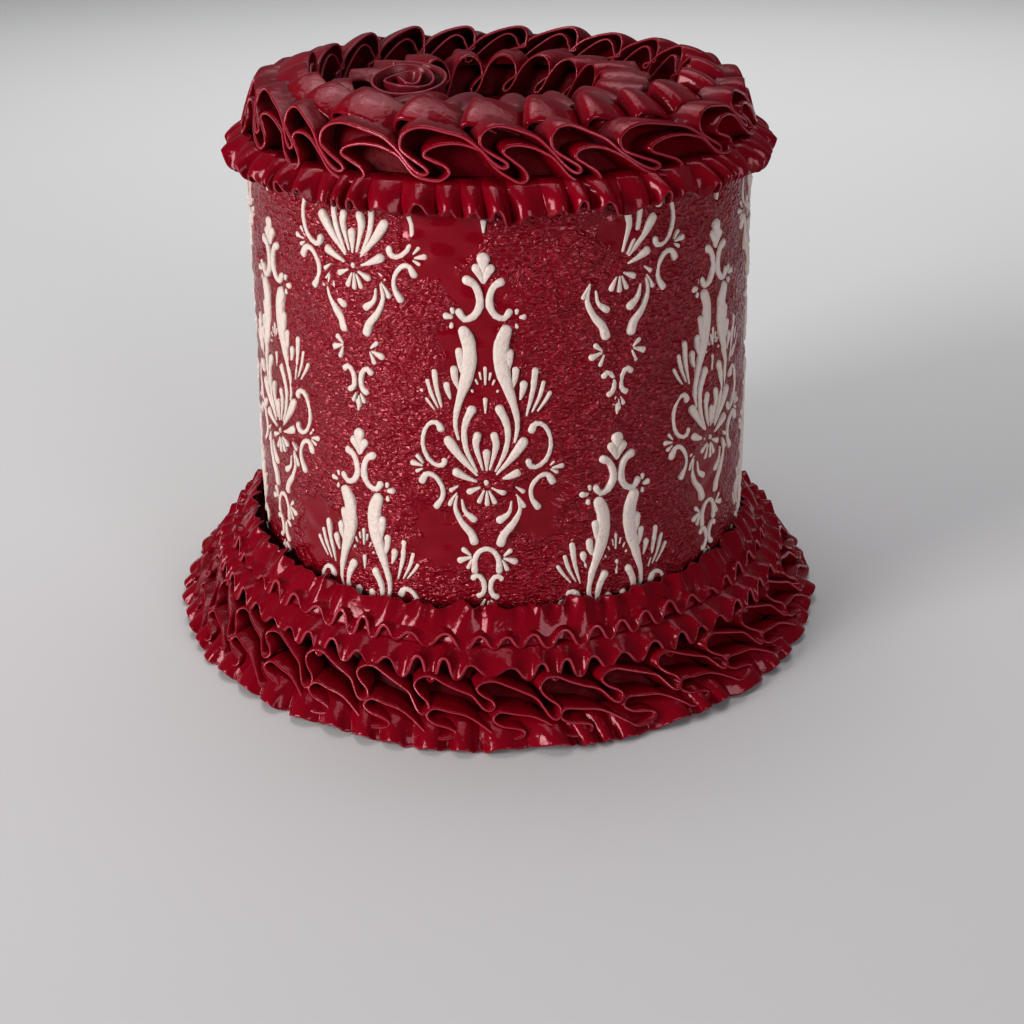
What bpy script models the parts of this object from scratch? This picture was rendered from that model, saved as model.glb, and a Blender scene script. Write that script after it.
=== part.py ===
"""Lambeth cake: a tall round cake in smooth buttercream, with a raised cream damask pattern on
its wall, a piped border of ruffles at its foot and a piped crown of ruffles on its top edge.

Units are metres. The origin is on the cake's axis, in the plane it stands on; +Z is up and -Y is
the front. A place on the cake is given by its turn round the axis (zero at the front, growing
towards +X), its distance from the axis and its height.
"""

import math
import random

import bmesh
import bpy
from mathutils import Vector

# The cake
WALL_BASE_RADIUS = 0.0793
WALL_TOP_RADIUS = 0.0751
CAKE_HEIGHT = 0.1550
CAKE_SIDES = 60

# The clear distance between two pieces that lie on each other
GAP = 0.0004

# The pattern: full motifs stand on every second column, and the columns between them carry the
# same motif raised above and dropped below full height, about half a repeat each way
FRONT_COLUMN_TURN = math.radians(-3.0)
FRONT_COLUMN_STEP = math.radians(28.1)
FRONT_COLUMNS_EACH_SIDE = 3
REAR_COLUMNS = 5
MOTIF_HEIGHT = 0.0700
RAISE = 0.0595
DROP = 0.0537
STROKE_RISE = 0.0010
STROKE_SINK = 0.0012
PATTERN_TOP = 0.1465
PATTERN_BOTTOM = 0.0320

# The border at the foot: the neck is the thick ring of icing that the other rows are piped on
NECK_FLOOR_RADIUS = 0.0970
NECK_SLOPE_RADIUS = 0.0835
NECK_SLOPE_HEIGHT = 0.0235
NECK_EDGE_RADIUS = 0.0812
NECK_EDGE_HEIGHT = 0.0302
NECK_PLEATS = 44
NECK_PLEAT_DEPTH = 0.0010

UPPER_WAVE_ROOT = (0.0846, 0.0266)
UPPER_WAVE_EDGE = (0.0886, 0.0254)
LOWER_WAVE_ROOT = (0.0866, 0.0210)
LOWER_WAVE_EDGE = (0.0938, 0.0187)
WAVES = 62
WAVE_RISE = 0.0020
WAVE_ROOT_THICKNESS = 0.0016

# A folded row's free edge lies on a cone: its place at the fold's zero level, and how far it goes
# out and up for each millimetre that the fold rises. The ribbon runs back from the edge by a
# reach (inwards, down), one for the highest place of a fold and one for the lowest
SKIRT_FOLDS = 33
SKIRT_EDGE = (0.0980, 0.0146)
SKIRT_CONE = (-0.50, 0.72)
SKIRT_HIGH_REACH = (0.0036, 0.0035)
SKIRT_LOW_REACH = (0.0080, 0.0000)

FOOT_PLEATS = 84
FOOT_ROOT_RADIUS = 0.0975
FOOT_EDGE_RADIUS = 0.1052
FOOT_PLEAT_DEPTH = 0.0014
FOOT_HEIGHT = 0.0040
FOOT_TOP_SETBACK = 0.0015

# The crown on the top edge: the crown ring is the thick ring of icing round the open middle
COLLAR_PLEATS = 70
COLLAR_TOP = 0.1550
COLLAR_BOTTOM = 0.1478
COLLAR_ROOT_RADIUS = 0.0757
COLLAR_EDGE_RADIUS = 0.0802
COLLAR_PLEAT_DEPTH = 0.0014
COLLAR_ROOT_WIDTH = 0.0017
COLLAR_ROOT_DROP = 0.0030
COLLAR_PLEAT_DROP = 0.0006

# The rim's folds start at these turns along the front, in degrees, and at even steps round the rest
RIM_FRONT_TURNS = (-69.4, -52.2, -39.8, -20.1, -3.4, 11.1, 25.7, 47.9)
RIM_REAR_FOLDS = 15
RIM_EDGE = (0.0735, 0.1644)
RIM_CONE = (-0.31, 0.83)
RIM_HIGH_REACH = (0.0064, -0.0004)
RIM_LOW_REACH = (0.0085, -0.0002)

# The crown ring's section, from its floor round its outer edge to its inner edge. Both edges lie
# in arches, and the section gives way to the rosette where that stands
CROWN_OUTER_FLOOR_RADIUS = 0.0634
CROWN_OUTER_EDGE = (0.0642, 0.1654)
CROWN_OUTER_RIDGE = (0.0545, 0.1706)
CROWN_VALLEY = (0.0465, 0.1646)
CROWN_INNER_RIDGE = (0.0365, 0.1676)
CROWN_INNER_EDGE = (0.0288, 0.1634)
CROWN_UNDER_EDGE = (0.0335, 0.1580)
CROWN_INNER_FLOOR_RADIUS = 0.0325
CROWN_OUTER_ARCHES = 24
CROWN_INNER_ARCHES = 12
CROWN_STEPS = 72
CROWN_OUTER_ARCH_RISE = 0.0026
CROWN_INNER_ARCH_RISE = 0.0030
CROWN_INNER_ARCH_DEPTH = 0.0014
BAY_RADIUS = 0.0436
BAY_DEPTH = 0.0035
BAY_FULL_TURN = math.radians(13.0)
BAY_END_TURN = math.radians(33.0)

ROSETTE_CENTRE = (-0.0262, -0.0145)
ROSETTE_OUTER_RADIUS = 0.0104
ROSETTE_INNER_RADIUS = 0.0016
ROSETTE_TURNS = 2.0
ROSETTE_HEIGHT = 0.0125
ROSETTE_STEPS_PER_TURN = 14
ROSETTE_FLARE = 0.0012
ROSETTE_FALL = 0.0030
ROSETTE_THICKNESS = 0.0014
ROSETTE_EDGE_SLANT = 0.0005

RIBBON_THICKNESS = 0.0009

# One fold of a folded free edge, as it is seen from outside: along the row and upwards, in
# millimetres. From the loop at its left it arches over to the right, runs down under the next
# fold, turns in a second loop and comes back
FOLD_PITCH = 20.5
FULL_FOLD = (
    (0.0, 0.4), (2.0, 3.8), (7.0, 4.8), (13.5, 3.0), (18.6, -0.4), (21.8, -5.4),
    (26.2, -9.2), (30.6, -10.2), (32.8, -8.4), (30.2, -5.9), (24.0, -3.2),
)
PLAIN_FOLD = (
    (0.2, 0.2), (4.5, 3.4), (13.0, 0.6), (20.4, -7.6), (26.6, -13.0), (32.0, -11.6), (26.6, -5.6),
)
# How far a folded ribbon leads off to the side for each millimetre that it runs back
FOLD_SKEW = 0.30

WINE_RED = (0.235, 0.004, 0.014)
DEEP_WINE = (0.150, 0.004, 0.012)
CREAM = (0.780, 0.700, 0.610)
ICING_ROUGHNESS = 0.32
UNEVENNESS_SEED = 7


def clear_scene():
    """Removes every object that the opened file holds."""
    for thing in list(bpy.data.objects):
        bpy.data.objects.remove(thing, do_unlink=True)


def new_collection(name):
    """Adds a collection to the scene."""
    collection = bpy.data.collections.new(name)
    bpy.context.scene.collection.children.link(collection)
    return collection


def icing(name, colour):
    """Makes a glossy icing material."""
    material = bpy.data.materials.new(name)
    material.use_nodes = True
    shader = material.node_tree.nodes["Principled BSDF"]
    shader.inputs["Base Color"].default_value = (*colour, 1.0)
    shader.inputs["Roughness"].default_value = ICING_ROUGHNESS
    shader.inputs["Metallic"].default_value = 0.0
    return material


def on_cake(turn, radius, height):
    """The point at a turn round the axis, a distance from it and a height."""
    return Vector((radius * math.sin(turn), -radius * math.cos(turn), height))


def wall_radius(height):
    """The radius of the slightly tapered wall at a height."""
    return WALL_BASE_RADIUS + (WALL_TOP_RADIUS - WALL_BASE_RADIUS) * height / CAKE_HEIGHT


def unevenness(count, spread, seed):
    """Seeded numbers about zero, one for each fold of a row."""
    draw = random.Random(UNEVENNESS_SEED * 100 + seed)
    return [draw.uniform(-spread, spread) for _ in range(count)]


def link_mesh(name, bm, collection, material, smooth_angle):
    """Turns a bmesh into a named object, smooth apart from its sharp edges."""
    bmesh.ops.recalc_face_normals(bm, faces=bm.faces)
    mesh = bpy.data.meshes.new(name)
    bm.to_mesh(mesh)
    bm.free()
    mesh.materials.append(material)
    mesh.shade_smooth()
    mesh.set_sharp_from_angle(angle=smooth_angle)
    thing = bpy.data.objects.new(name, mesh)
    collection.objects.link(thing)
    return thing


def loft(name, sections, closed, collection, material):
    """Skins a row of equal sections, as a closed ring or as a strip with two flat ends.

    A section runs along its under side first and then back along its upper side. The faces of
    both sides are split the same way, so that a thin ribbon's sides can't pass through each
    other."""
    bm = bmesh.new()
    rows = [[bm.verts.new(point) for point in section] for section in sections]
    spans = len(rows) if closed else len(rows) - 1
    corners = len(rows[0])
    for i in range(spans):
        here, there = rows[i], rows[(i + 1) % len(rows)]
        for k in range(corners):
            j = (k + 1) % corners
            if k < corners // 2:
                bm.faces.new((here[k], here[j], there[j]))
                bm.faces.new((here[k], there[j], there[k]))
            else:
                bm.faces.new((here[k], here[j], there[k]))
                bm.faces.new((here[j], there[j], there[k]))
    if not closed:
        bm.faces.new(rows[0])
        bm.faces.new(reversed(rows[-1]))
    return link_mesh(name, bm, collection, material, math.radians(50))


def cake_drum(collection, material):
    """The uncut cake, turned from its profile."""
    profile = [
        (0.0, CAKE_HEIGHT),
        (WALL_TOP_RADIUS, CAKE_HEIGHT),
        (WALL_BASE_RADIUS, 0.0),
        (0.0, 0.0),
    ]
    bm = bmesh.new()
    points = [bm.verts.new((radius, 0.0, height)) for radius, height in profile]
    for upper, lower in zip(points, points[1:]):
        bm.edges.new((upper, lower))
    mesh = bpy.data.meshes.new("cake_body")
    bm.to_mesh(mesh)
    bm.free()
    mesh.materials.append(material)
    drum = bpy.data.objects.new("cake_body", mesh)
    collection.objects.link(drum)
    screw = drum.modifiers.new("turned", "SCREW")
    screw.axis = "Z"
    screw.steps = CAKE_SIDES
    screw.render_steps = CAKE_SIDES
    screw.use_merge_vertices = True
    screw.merge_threshold = 0.00001
    screw.use_smooth_shade = True
    return drum


def columns():
    """The turn of each column of the pattern, and whether its motif is at full height."""
    found = []
    for k in range(-FRONT_COLUMNS_EACH_SIDE, FRONT_COLUMNS_EACH_SIDE + 1):
        found.append((FRONT_COLUMN_TURN + k * FRONT_COLUMN_STEP, k % 2 == 0))
    last = FRONT_COLUMN_TURN + FRONT_COLUMNS_EACH_SIDE * FRONT_COLUMN_STEP
    rest = 2.0 * math.pi - 2 * FRONT_COLUMNS_EACH_SIDE * FRONT_COLUMN_STEP
    step = rest / (REAR_COLUMNS + 1)
    for k in range(1, REAR_COLUMNS + 1):
        found.append((last + k * step, k % 2 == 1))
    return found


def motif_strokes():
    """The main strokes of one motif, from its middle flower: each is a centre line of (sideways,
    up, width) points in millimetres. Those of the second list are drawn on both sides."""
    middle = [
        [(0.0, 59.6, 1.2), (0.0, 65.6, 4.4)],
        [(-4.6, -27.0, 2.0), (0.0, -20.8, 2.2), (4.6, -27.0, 2.0)],
    ]
    sides = [
        [(2.8, 58.6, 3.0), (1.7, 51.6, 2.2), (6.0, 48.8, 2.4)],
        [(4.8, 45.4, 4.4), (4.4, 36.5, 5.2), (8.6, 15.6, 1.4)],
        [(12.6, 18.2, 2.4), (18.0, 12.6, 2.0), (13.0, 4.8, 2.4)],
        [(2.8, 5.0, 1.0), (5.4, 21.4, 3.6)],
        [(4.8, 3.2, 1.0), (10.0, 11.6, 3.8)],
        [(8.8, -3.0, 1.4), (4.4, -16.6, 3.8)],
    ]
    return middle, sides


def stroke_outline(points):
    """The two sides of a stroke whose centre line and widths are given, as one loop."""
    left, right = [], []
    for i, (across, up, width) in enumerate(points):
        before = points[max(i - 1, 0)]
        after = points[min(i + 1, len(points) - 1)]
        along = Vector((after[0] - before[0], after[1] - before[1])).normalized()
        reach = Vector((-along.y, along.x)) * width / 2
        left.append((across + reach.x, up + reach.y))
        right.append((across - reach.x, up - reach.y))
    return left + right[::-1]


def add_stroke(points, turn, height, mirrored, collection, material):
    """One raised stroke, bent round the wall, unless the borders would cover it."""
    side = -1.0 if mirrored else 1.0
    outline = [(side * a / 1000, height + b / 1000) for a, b in stroke_outline(points)]
    heights = [up for _, up in outline]
    if max(heights) > PATTERN_TOP or min(heights) < PATTERN_BOTTOM:
        return
    bm = bmesh.new()
    rings = []
    for rise in (-STROKE_SINK, STROKE_RISE):
        ring = []
        for across, up in outline:
            radius = wall_radius(up)
            ring.append(bm.verts.new(on_cake(turn + across / radius, radius + rise, up)))
        rings.append(ring)
    count = len(outline)
    for i in range(count):
        j = (i + 1) % count
        bm.faces.new((rings[0][i], rings[0][j], rings[1][j], rings[1][i]))
    rungs = count // 2 - 1
    for ring in rings:
        for i in range(rungs):
            bm.faces.new((ring[i], ring[i + 1], ring[count - 2 - i], ring[count - 1 - i]))
    link_mesh("stroke", bm, collection, material, math.radians(30))


def add_motif(turn, height, collection, material):
    """All the strokes of one motif."""
    middle, sides = motif_strokes()
    for points in middle:
        add_stroke(points, turn, height, False, collection, material)
    for points in sides:
        for mirrored in (False, True):
            add_stroke(points, turn, height, mirrored, collection, material)


def join_all(target, collection):
    """Joins every object of a collection to the target and removes the collection."""
    union = target.modifiers.new("joined", "BOOLEAN")
    union.operation = "UNION"
    union.solver = "EXACT"
    union.operand_type = "COLLECTION"
    union.collection = collection
    seen = target.evaluated_get(bpy.context.evaluated_depsgraph_get())
    joined = bpy.data.meshes.new_from_object(seen)
    target.modifiers.clear()
    target.data = joined
    for thing in list(collection.objects):
        bpy.data.objects.remove(thing, do_unlink=True)
    bpy.data.collections.remove(collection)


def cake_body(collection, wine, cream):
    """The cake with the raised pattern on its wall."""
    drum = cake_drum(collection, wine)
    strokes = new_collection("pattern strokes")
    for turn, full in columns():
        if full:
            add_motif(turn, MOTIF_HEIGHT, strokes, cream)
        else:
            add_motif(turn, MOTIF_HEIGHT + RAISE, strokes, cream)
            add_motif(turn, MOTIF_HEIGHT - DROP, strokes, cream)
    join_all(drum, strokes)
    drum.data.set_sharp_from_angle(angle=math.radians(30))
    return drum


def neck_ruffle(collection, material):
    """The thick innermost ring at the foot, whose pleated edge stands up beside the wall."""
    lifts = unevenness(NECK_PLEATS, 0.0006, 1)
    inner = WALL_BASE_RADIUS + GAP
    sections = []
    for i in range(2 * NECK_PLEATS):
        turn = 2 * math.pi * i / (2 * NECK_PLEATS)
        out = 1.0 if i % 2 else -1.0
        top = NECK_EDGE_HEIGHT + lifts[i // 2]
        sections.append([
            on_cake(turn, inner, 0.0),
            on_cake(turn, NECK_FLOOR_RADIUS, 0.0),
            on_cake(turn, NECK_SLOPE_RADIUS, NECK_SLOPE_HEIGHT),
            on_cake(turn, NECK_EDGE_RADIUS + NECK_PLEAT_DEPTH * out, top),
            on_cake(turn, inner, NECK_SLOPE_HEIGHT),
        ])
    return loft("neck_ruffle", sections, True, collection, material)


def wave_ruffle(name, root, edge, seed, collection, material):
    """A row with a thin wavy edge that sticks out."""
    lifts = unevenness(WAVES, 0.0004, seed)
    sections = []
    for i in range(2 * WAVES):
        turn = 2 * math.pi * i / (2 * WAVES)
        up = 1.0 if i % 2 else -1.0
        tip = edge[1] + up * (WAVE_RISE + lifts[i // 2])
        sections.append([
            on_cake(turn, root[0], root[1] - WAVE_ROOT_THICKNESS / 2),
            on_cake(turn, edge[0], tip),
            on_cake(turn, root[0] - WAVE_ROOT_THICKNESS / 2, root[1] + WAVE_ROOT_THICKNESS),
        ])
    return loft(name, sections, True, collection, material)


def fold_direction(edge, index, pitch):
    """The direction of a folded free edge at one of its points, from the points beside it."""
    count = len(edge)
    before = edge[index - 1] if index else (edge[-1][0] - pitch, edge[-1][1])
    after = edge[index + 1] if index < count - 1 else (edge[0][0] + pitch, edge[0][1])
    return Vector((after[0] - before[0], after[1] - before[1])).normalized()


def fold_section(along, up, offset, low, edge, cone, reaches):
    """The under and the upper side of a folded ribbon at one place of its free edge, from the
    root to the edge and back. The offset leads from the middle of the edge to its upper side."""
    high_reach, low_reach = reaches
    inward = high_reach[0] + (low_reach[0] - high_reach[0]) * low
    down = high_reach[1] + (low_reach[1] - high_reach[1]) * low
    corners = []
    for side, back in ((-1.0, 1.0), (-1.0, 0.0), (1.0, 0.0), (1.0, 1.0)):
        lift = up + side * offset.y
        radius = edge[0] + cone[0] * lift
        height = edge[1] + cone[1] * lift
        turn = (along + side * offset.x) / edge[0]
        inner = radius - back * inward
        corners.append(on_cake(turn - back * inward * FOLD_SKEW / inner, inner, height - back * down))
    return corners


def fold_starts(front, rear):
    """The turns at which the folds of a row start: given in degrees along the front, even round
    the rest."""
    front = [math.radians(turn) for turn in front]
    gap = (2.0 * math.pi + front[0] - front[-1]) / (rear + 1)
    return front + [front[-1] + gap * (k + 1) for k in range(rear)]


def fold_turn(starts, index, share):
    """The turn of a place that lies a share of a pitch past the start of a fold. A share over one
    lies in the next fold, and follows that fold's own width."""
    count = len(starts)
    index, share = (index + 1, share - 1.0) if share > 1.0 else (index, share)
    round_before = 2.0 * math.pi * (index // count)
    round_after = 2.0 * math.pi * ((index + 1) // count)
    here = starts[index % count] + round_before
    there = starts[(index + 1) % count] + round_after
    return here + (there - here) * share


def fold_ruffle(name, starts, outline, edge, cone, reaches, seed, collection, material):
    """A row whose thin ribbon lies in leaning folds, which start at the given turns.

    The outline is one fold of the free edge in millimetres, along the row and upwards, on a row
    with FOLD_PITCH between its folds."""
    folds = len(starts)
    top = max(up for _, up in outline)
    bottom = min(up for _, up in outline)
    highs = unevenness(folds, 0.06, seed)
    sections = []
    for i in range(folds):
        for k, (along, up) in enumerate(outline):
            share = k / len(outline)
            high = 1.0 + highs[i] * (1.0 - share) + highs[(i + 1) % folds] * share
            facing = fold_direction(outline, k, FOLD_PITCH)
            offset = Vector((-facing.y, facing.x)) * RIBBON_THICKNESS / 2
            low = (top - up) / (top - bottom)
            place = fold_turn(starts, i, along / FOLD_PITCH) * edge[0]
            sections.append(fold_section(place, high * up / 1000, offset, low, edge, cone, reaches))
    return loft(name, sections, True, collection, material)


def foot_ruffle(collection, material):
    """The lowest row, whose short upright pleats stand on the same plane as the cake."""
    depths = unevenness(FOOT_PLEATS, 0.0004, 8)
    sections = []
    for i in range(2 * FOOT_PLEATS):
        turn = 2 * math.pi * i / (2 * FOOT_PLEATS)
        out = 1.0 if i % 2 else -1.0
        radius = FOOT_EDGE_RADIUS + out * (FOOT_PLEAT_DEPTH + depths[i // 2])
        sections.append([
            on_cake(turn, FOOT_ROOT_RADIUS, 0.0),
            on_cake(turn, radius, 0.0),
            on_cake(turn, FOOT_ROOT_RADIUS + FOOT_TOP_SETBACK, FOOT_HEIGHT),
        ])
    return loft("foot_ruffle", sections, True, collection, material)


def collar_ruffle(collection, material):
    """The fine pleated row that hangs down beside the wall under the rim."""
    drops = unevenness(COLLAR_PLEATS, 0.0005, 9)
    sections = []
    for i in range(2 * COLLAR_PLEATS):
        turn = 2 * math.pi * i / (2 * COLLAR_PLEATS)
        out = 1.0 if i % 2 else -1.0
        low = COLLAR_BOTTOM + drops[i // 2] + COLLAR_PLEAT_DROP * out
        sections.append([
            on_cake(turn, COLLAR_EDGE_RADIUS + out * COLLAR_PLEAT_DEPTH, low),
            on_cake(turn, COLLAR_ROOT_RADIUS + COLLAR_ROOT_WIDTH, COLLAR_TOP),
            on_cake(turn, COLLAR_ROOT_RADIUS, COLLAR_TOP - COLLAR_ROOT_DROP),
        ])
    return loft("collar_ruffle", sections, True, collection, material)


def bay_share(turn):
    """How far the crown ring gives way to the rosette at a turn, from 0 to 1."""
    middle = math.atan2(ROSETTE_CENTRE[0], -ROSETTE_CENTRE[1])
    off = abs((turn - middle + math.pi) % (2.0 * math.pi) - math.pi)
    share = min(max((BAY_END_TURN - off) / (BAY_END_TURN - BAY_FULL_TURN), 0.0), 1.0)
    return share * share * (3.0 - 2.0 * share)


def crown_ruffle(collection, material):
    """The thick ring on the top, with an arched edge outwards beside the rim and one that leans
    in over the open middle."""
    floor = CAKE_HEIGHT + GAP
    lifts = unevenness(CROWN_OUTER_ARCHES, 0.0006, 10)
    sections = []
    for i in range(CROWN_STEPS):
        turn = 2 * math.pi * i / CROWN_STEPS
        outer = math.cos(CROWN_OUTER_ARCHES * turn)
        inner = math.cos(CROWN_INNER_ARCHES * turn)
        lift = outer * CROWN_OUTER_ARCH_RISE + lifts[i * CROWN_OUTER_ARCHES // CROWN_STEPS]
        bay = bay_share(turn)

        def give_way(place, extra):
            radius = place[0] + (BAY_RADIUS + extra - place[0]) * bay
            return on_cake(turn, radius, place[1])

        inner_edge = (
            CROWN_INNER_EDGE[0] - inner * CROWN_INNER_ARCH_DEPTH,
            CROWN_INNER_EDGE[1] + inner * CROWN_INNER_ARCH_RISE,
        )
        sections.append([
            give_way((CROWN_INNER_FLOOR_RADIUS, floor), BAY_DEPTH / 2),
            on_cake(turn, CROWN_OUTER_FLOOR_RADIUS, floor),
            on_cake(turn, CROWN_OUTER_EDGE[0], CROWN_OUTER_EDGE[1] + lift),
            on_cake(turn, *CROWN_OUTER_RIDGE),
            give_way(CROWN_VALLEY, 2 * BAY_DEPTH),
            give_way(CROWN_INNER_RIDGE, BAY_DEPTH),
            give_way(inner_edge, 0.0),
            give_way(CROWN_UNDER_EDGE, BAY_DEPTH / 2),
        ])
    return loft("crown_ruffle", sections, True, collection, material)


def crown_rosette(collection, material):
    """The curl in which the crown ring ends, a ribbon on edge wound in a spiral."""
    floor = CAKE_HEIGHT + GAP
    steps = round(ROSETTE_TURNS * ROSETTE_STEPS_PER_TURN)
    sections = []
    for i in range(steps + 1):
        wound = i / steps
        turn = 2 * math.pi * ROSETTE_TURNS * wound
        radius = ROSETTE_INNER_RADIUS + (ROSETTE_OUTER_RADIUS - ROSETTE_INNER_RADIUS) * wound
        flare = ROSETTE_FLARE * wound
        high = floor + ROSETTE_HEIGHT - ROSETTE_FALL * wound
        half = ROSETTE_THICKNESS / 2
        section = []
        for reach, height in (
            (radius - half, floor),
            (radius + half, floor),
            (radius + half + flare, high),
            (radius - half + flare, high + ROSETTE_EDGE_SLANT),
        ):
            section.append(Vector((
                ROSETTE_CENTRE[0] + reach * math.cos(turn),
                ROSETTE_CENTRE[1] + reach * math.sin(turn),
                height,
            )))
        sections.append(section)
    return loft("crown_rosette", sections, False, collection, material)


def build():
    """Builds the whole cake."""
    clear_scene()
    cake = new_collection("lambeth_cake")
    wine = icing("wine icing", WINE_RED)
    piped = icing("piped wine icing", DEEP_WINE)
    cream = icing("cream icing", CREAM)
    cake_body(cake, wine, cream)
    neck_ruffle(cake, piped)
    wave_ruffle("upper_wave_ruffle", UPPER_WAVE_ROOT, UPPER_WAVE_EDGE, 2, cake, piped)
    wave_ruffle("lower_wave_ruffle", LOWER_WAVE_ROOT, LOWER_WAVE_EDGE, 3, cake, piped)
    skirt_starts = [2.0 * math.pi * k / SKIRT_FOLDS for k in range(SKIRT_FOLDS)]
    skirt_reaches = (SKIRT_HIGH_REACH, SKIRT_LOW_REACH)
    fold_ruffle(
        "skirt_ruffle", skirt_starts, PLAIN_FOLD, SKIRT_EDGE, SKIRT_CONE, skirt_reaches, 4, cake, piped,
    )
    foot_ruffle(cake, piped)
    collar_ruffle(cake, piped)
    rim_starts = fold_starts(RIM_FRONT_TURNS, RIM_REAR_FOLDS)
    rim_reaches = (RIM_HIGH_REACH, RIM_LOW_REACH)
    fold_ruffle("rim_ruffle", rim_starts, FULL_FOLD, RIM_EDGE, RIM_CONE, rim_reaches, 6, cake, piped)
    crown_ruffle(cake, piped)
    crown_rosette(cake, piped)


build()
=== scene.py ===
"""Looks of the lambeth cake: its smoothed wall with the raised damask pattern, the piped rows of
ruffles at its foot, and the folded crown on its top edge.

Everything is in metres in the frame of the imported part. A place on the cake is given by its turn
round the axis (zero at the front, growing to the right), its distance from the axis and its height.
"""

import logging
import math
from collections.abc import Iterator
from contextlib import contextmanager
from dataclasses import dataclass, field
from enum import Enum

import bpy
import numpy as np
from mathutils import Matrix, Vector


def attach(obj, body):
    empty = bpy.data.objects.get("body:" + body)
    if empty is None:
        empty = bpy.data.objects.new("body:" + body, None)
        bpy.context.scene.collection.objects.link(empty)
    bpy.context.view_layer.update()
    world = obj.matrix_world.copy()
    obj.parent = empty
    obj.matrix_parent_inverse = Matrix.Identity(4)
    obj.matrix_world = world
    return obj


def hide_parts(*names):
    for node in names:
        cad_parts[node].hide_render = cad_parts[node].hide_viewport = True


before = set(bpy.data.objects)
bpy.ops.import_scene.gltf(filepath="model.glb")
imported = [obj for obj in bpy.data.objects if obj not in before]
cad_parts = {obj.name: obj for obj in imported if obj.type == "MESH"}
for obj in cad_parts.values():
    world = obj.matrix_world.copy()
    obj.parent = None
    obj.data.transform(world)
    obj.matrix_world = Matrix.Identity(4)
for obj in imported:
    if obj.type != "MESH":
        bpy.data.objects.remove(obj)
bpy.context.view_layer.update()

LOG = logging.getLogger("lambeth_cake")
MM = 0.001
TURN = 2.0 * math.pi

Array = np.ndarray
Pair = tuple[float, float]
Triple = tuple[float, float, float]
Piece = bpy.types.Object
Socket = bpy.types.NodeSocket
Fed = Socket | float | tuple  # what feeds a socket: the output of a node, or a value


class Slot(Enum):
    """The record's material slots."""

    WINE = "wine_icing"
    PIPED = "piped_icing"
    CREAM = "cream_icing"


class Column(Enum):
    """How a column of the pattern starts: at full height, or raised and lowered about half a repeat."""

    FULL = 0
    HALF = 1


def between(first: float, last: float, share: Array) -> Array:
    """The value at each share of the way from a first one to a last one."""
    return first + (last - first) * share


def eased(share: Array) -> Array:
    """A share of the way that is slowed down near both ends."""
    return share * share * (3.0 - 2.0 * share)


def curve_point(four: Array, share: float) -> Array:
    """Finds a point on the smooth curve through four points.

    Args:
        four: The points, one row each.
        share: How far it is from the second point to the third.

    Returns:
        The point.
    """
    a, b, c, d = four
    return 0.5 * ((2 * b) + (c - a) * share + (2 * a - 5 * b + 4 * c - d) * share * share
                  + (3 * b - a - 3 * c + d) * share ** 3)


def on_cake(turn: Array, radius: Array, height: Array) -> Array:
    """Turns places on the cake, by turn in radians, radius and height, into rows of x, y, z."""
    turn, radius, height = np.broadcast_arrays(turn, radius, height)
    return np.stack([radius * np.sin(turn), -radius * np.cos(turn), height], axis=-1)


def deselect_all() -> None:
    """Leaves nothing selected."""
    for thing in bpy.context.selected_objects:
        thing.select_set(False)


def make_active(thing: Piece) -> None:
    """Selects one object alone.

    Args:
        thing: The object.
    """
    deselect_all()
    thing.select_set(True)
    bpy.context.view_layer.objects.active = thing


@contextmanager
def editing(thing: Piece, select: str = "SELECT") -> Iterator[None]:
    """Opens a piece in edit mode, and closes it again after the work inside.

    Args:
        thing: The mesh object.
        select: What is done to the selection first, SELECT or DESELECT.
    """
    make_active(thing)
    bpy.ops.object.mode_set(mode="EDIT")
    bpy.ops.mesh.select_all(action=select)
    yield
    bpy.ops.object.mode_set(mode="OBJECT")


def join_pieces(pieces: list[Piece]) -> Piece:
    """Joins pieces into the first of them.

    Args:
        pieces: The pieces.

    Returns:
        The joined piece.
    """
    deselect_all()
    for piece in pieces:
        piece.select_set(True)
    bpy.context.view_layer.objects.active = pieces[0]
    bpy.ops.object.join()
    return bpy.context.object


def places_of(thing: Piece) -> Array:
    """Reads where a piece's vertices are.

    Args:
        thing: The mesh object.

    Returns:
        One row of x, y, z for each vertex.
    """
    flat = np.empty(3 * len(thing.data.vertices))
    thing.data.vertices.foreach_get("co", flat)
    return flat.reshape(-1, 3)


def set_places(thing: Piece, places: Array) -> None:
    """Puts every vertex at its place, a row of x, y, z."""
    thing.data.vertices.foreach_set("co", np.ascontiguousarray(places, float).ravel())
    thing.data.update()


def add_share(thing: Piece, name: str, values: Array) -> None:
    """Keeps a number for each vertex under a name that the finish reads."""
    layer = thing.data.attributes.new(name, "FLOAT", "POINT")
    layer.data.foreach_set("value", np.ascontiguousarray(values, float))


def add_sheet(name: str, along: int, across: int) -> tuple[Piece, Array, Array]:
    """Adds a flat grid, the start of every ribbon and skin.

    Args:
        name: The object's name.
        along: Faces along the sheet.
        across: Faces across it.

    Returns:
        The object, and each vertex's share along and across, from 0 to 1.
    """
    deselect_all()
    bpy.ops.mesh.primitive_grid_add(x_subdivisions=along, y_subdivisions=across, size=1.0)
    sheet = bpy.context.object
    sheet.name = sheet.data.name = name
    flat = places_of(sheet)
    return sheet, flat[:, 0] + 0.5, flat[:, 1] + 0.5


def weld(thing: Piece, outward: bool = False) -> None:
    """Closes the seam where the sheet meets itself.

    Args:
        thing: The mesh object.
        outward: Whether its faces are then turned outwards.
    """
    with editing(thing):
        bpy.ops.mesh.remove_doubles(threshold=1e-6)
        if outward:
            bpy.ops.mesh.normals_make_consistent(inside=False)


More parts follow.
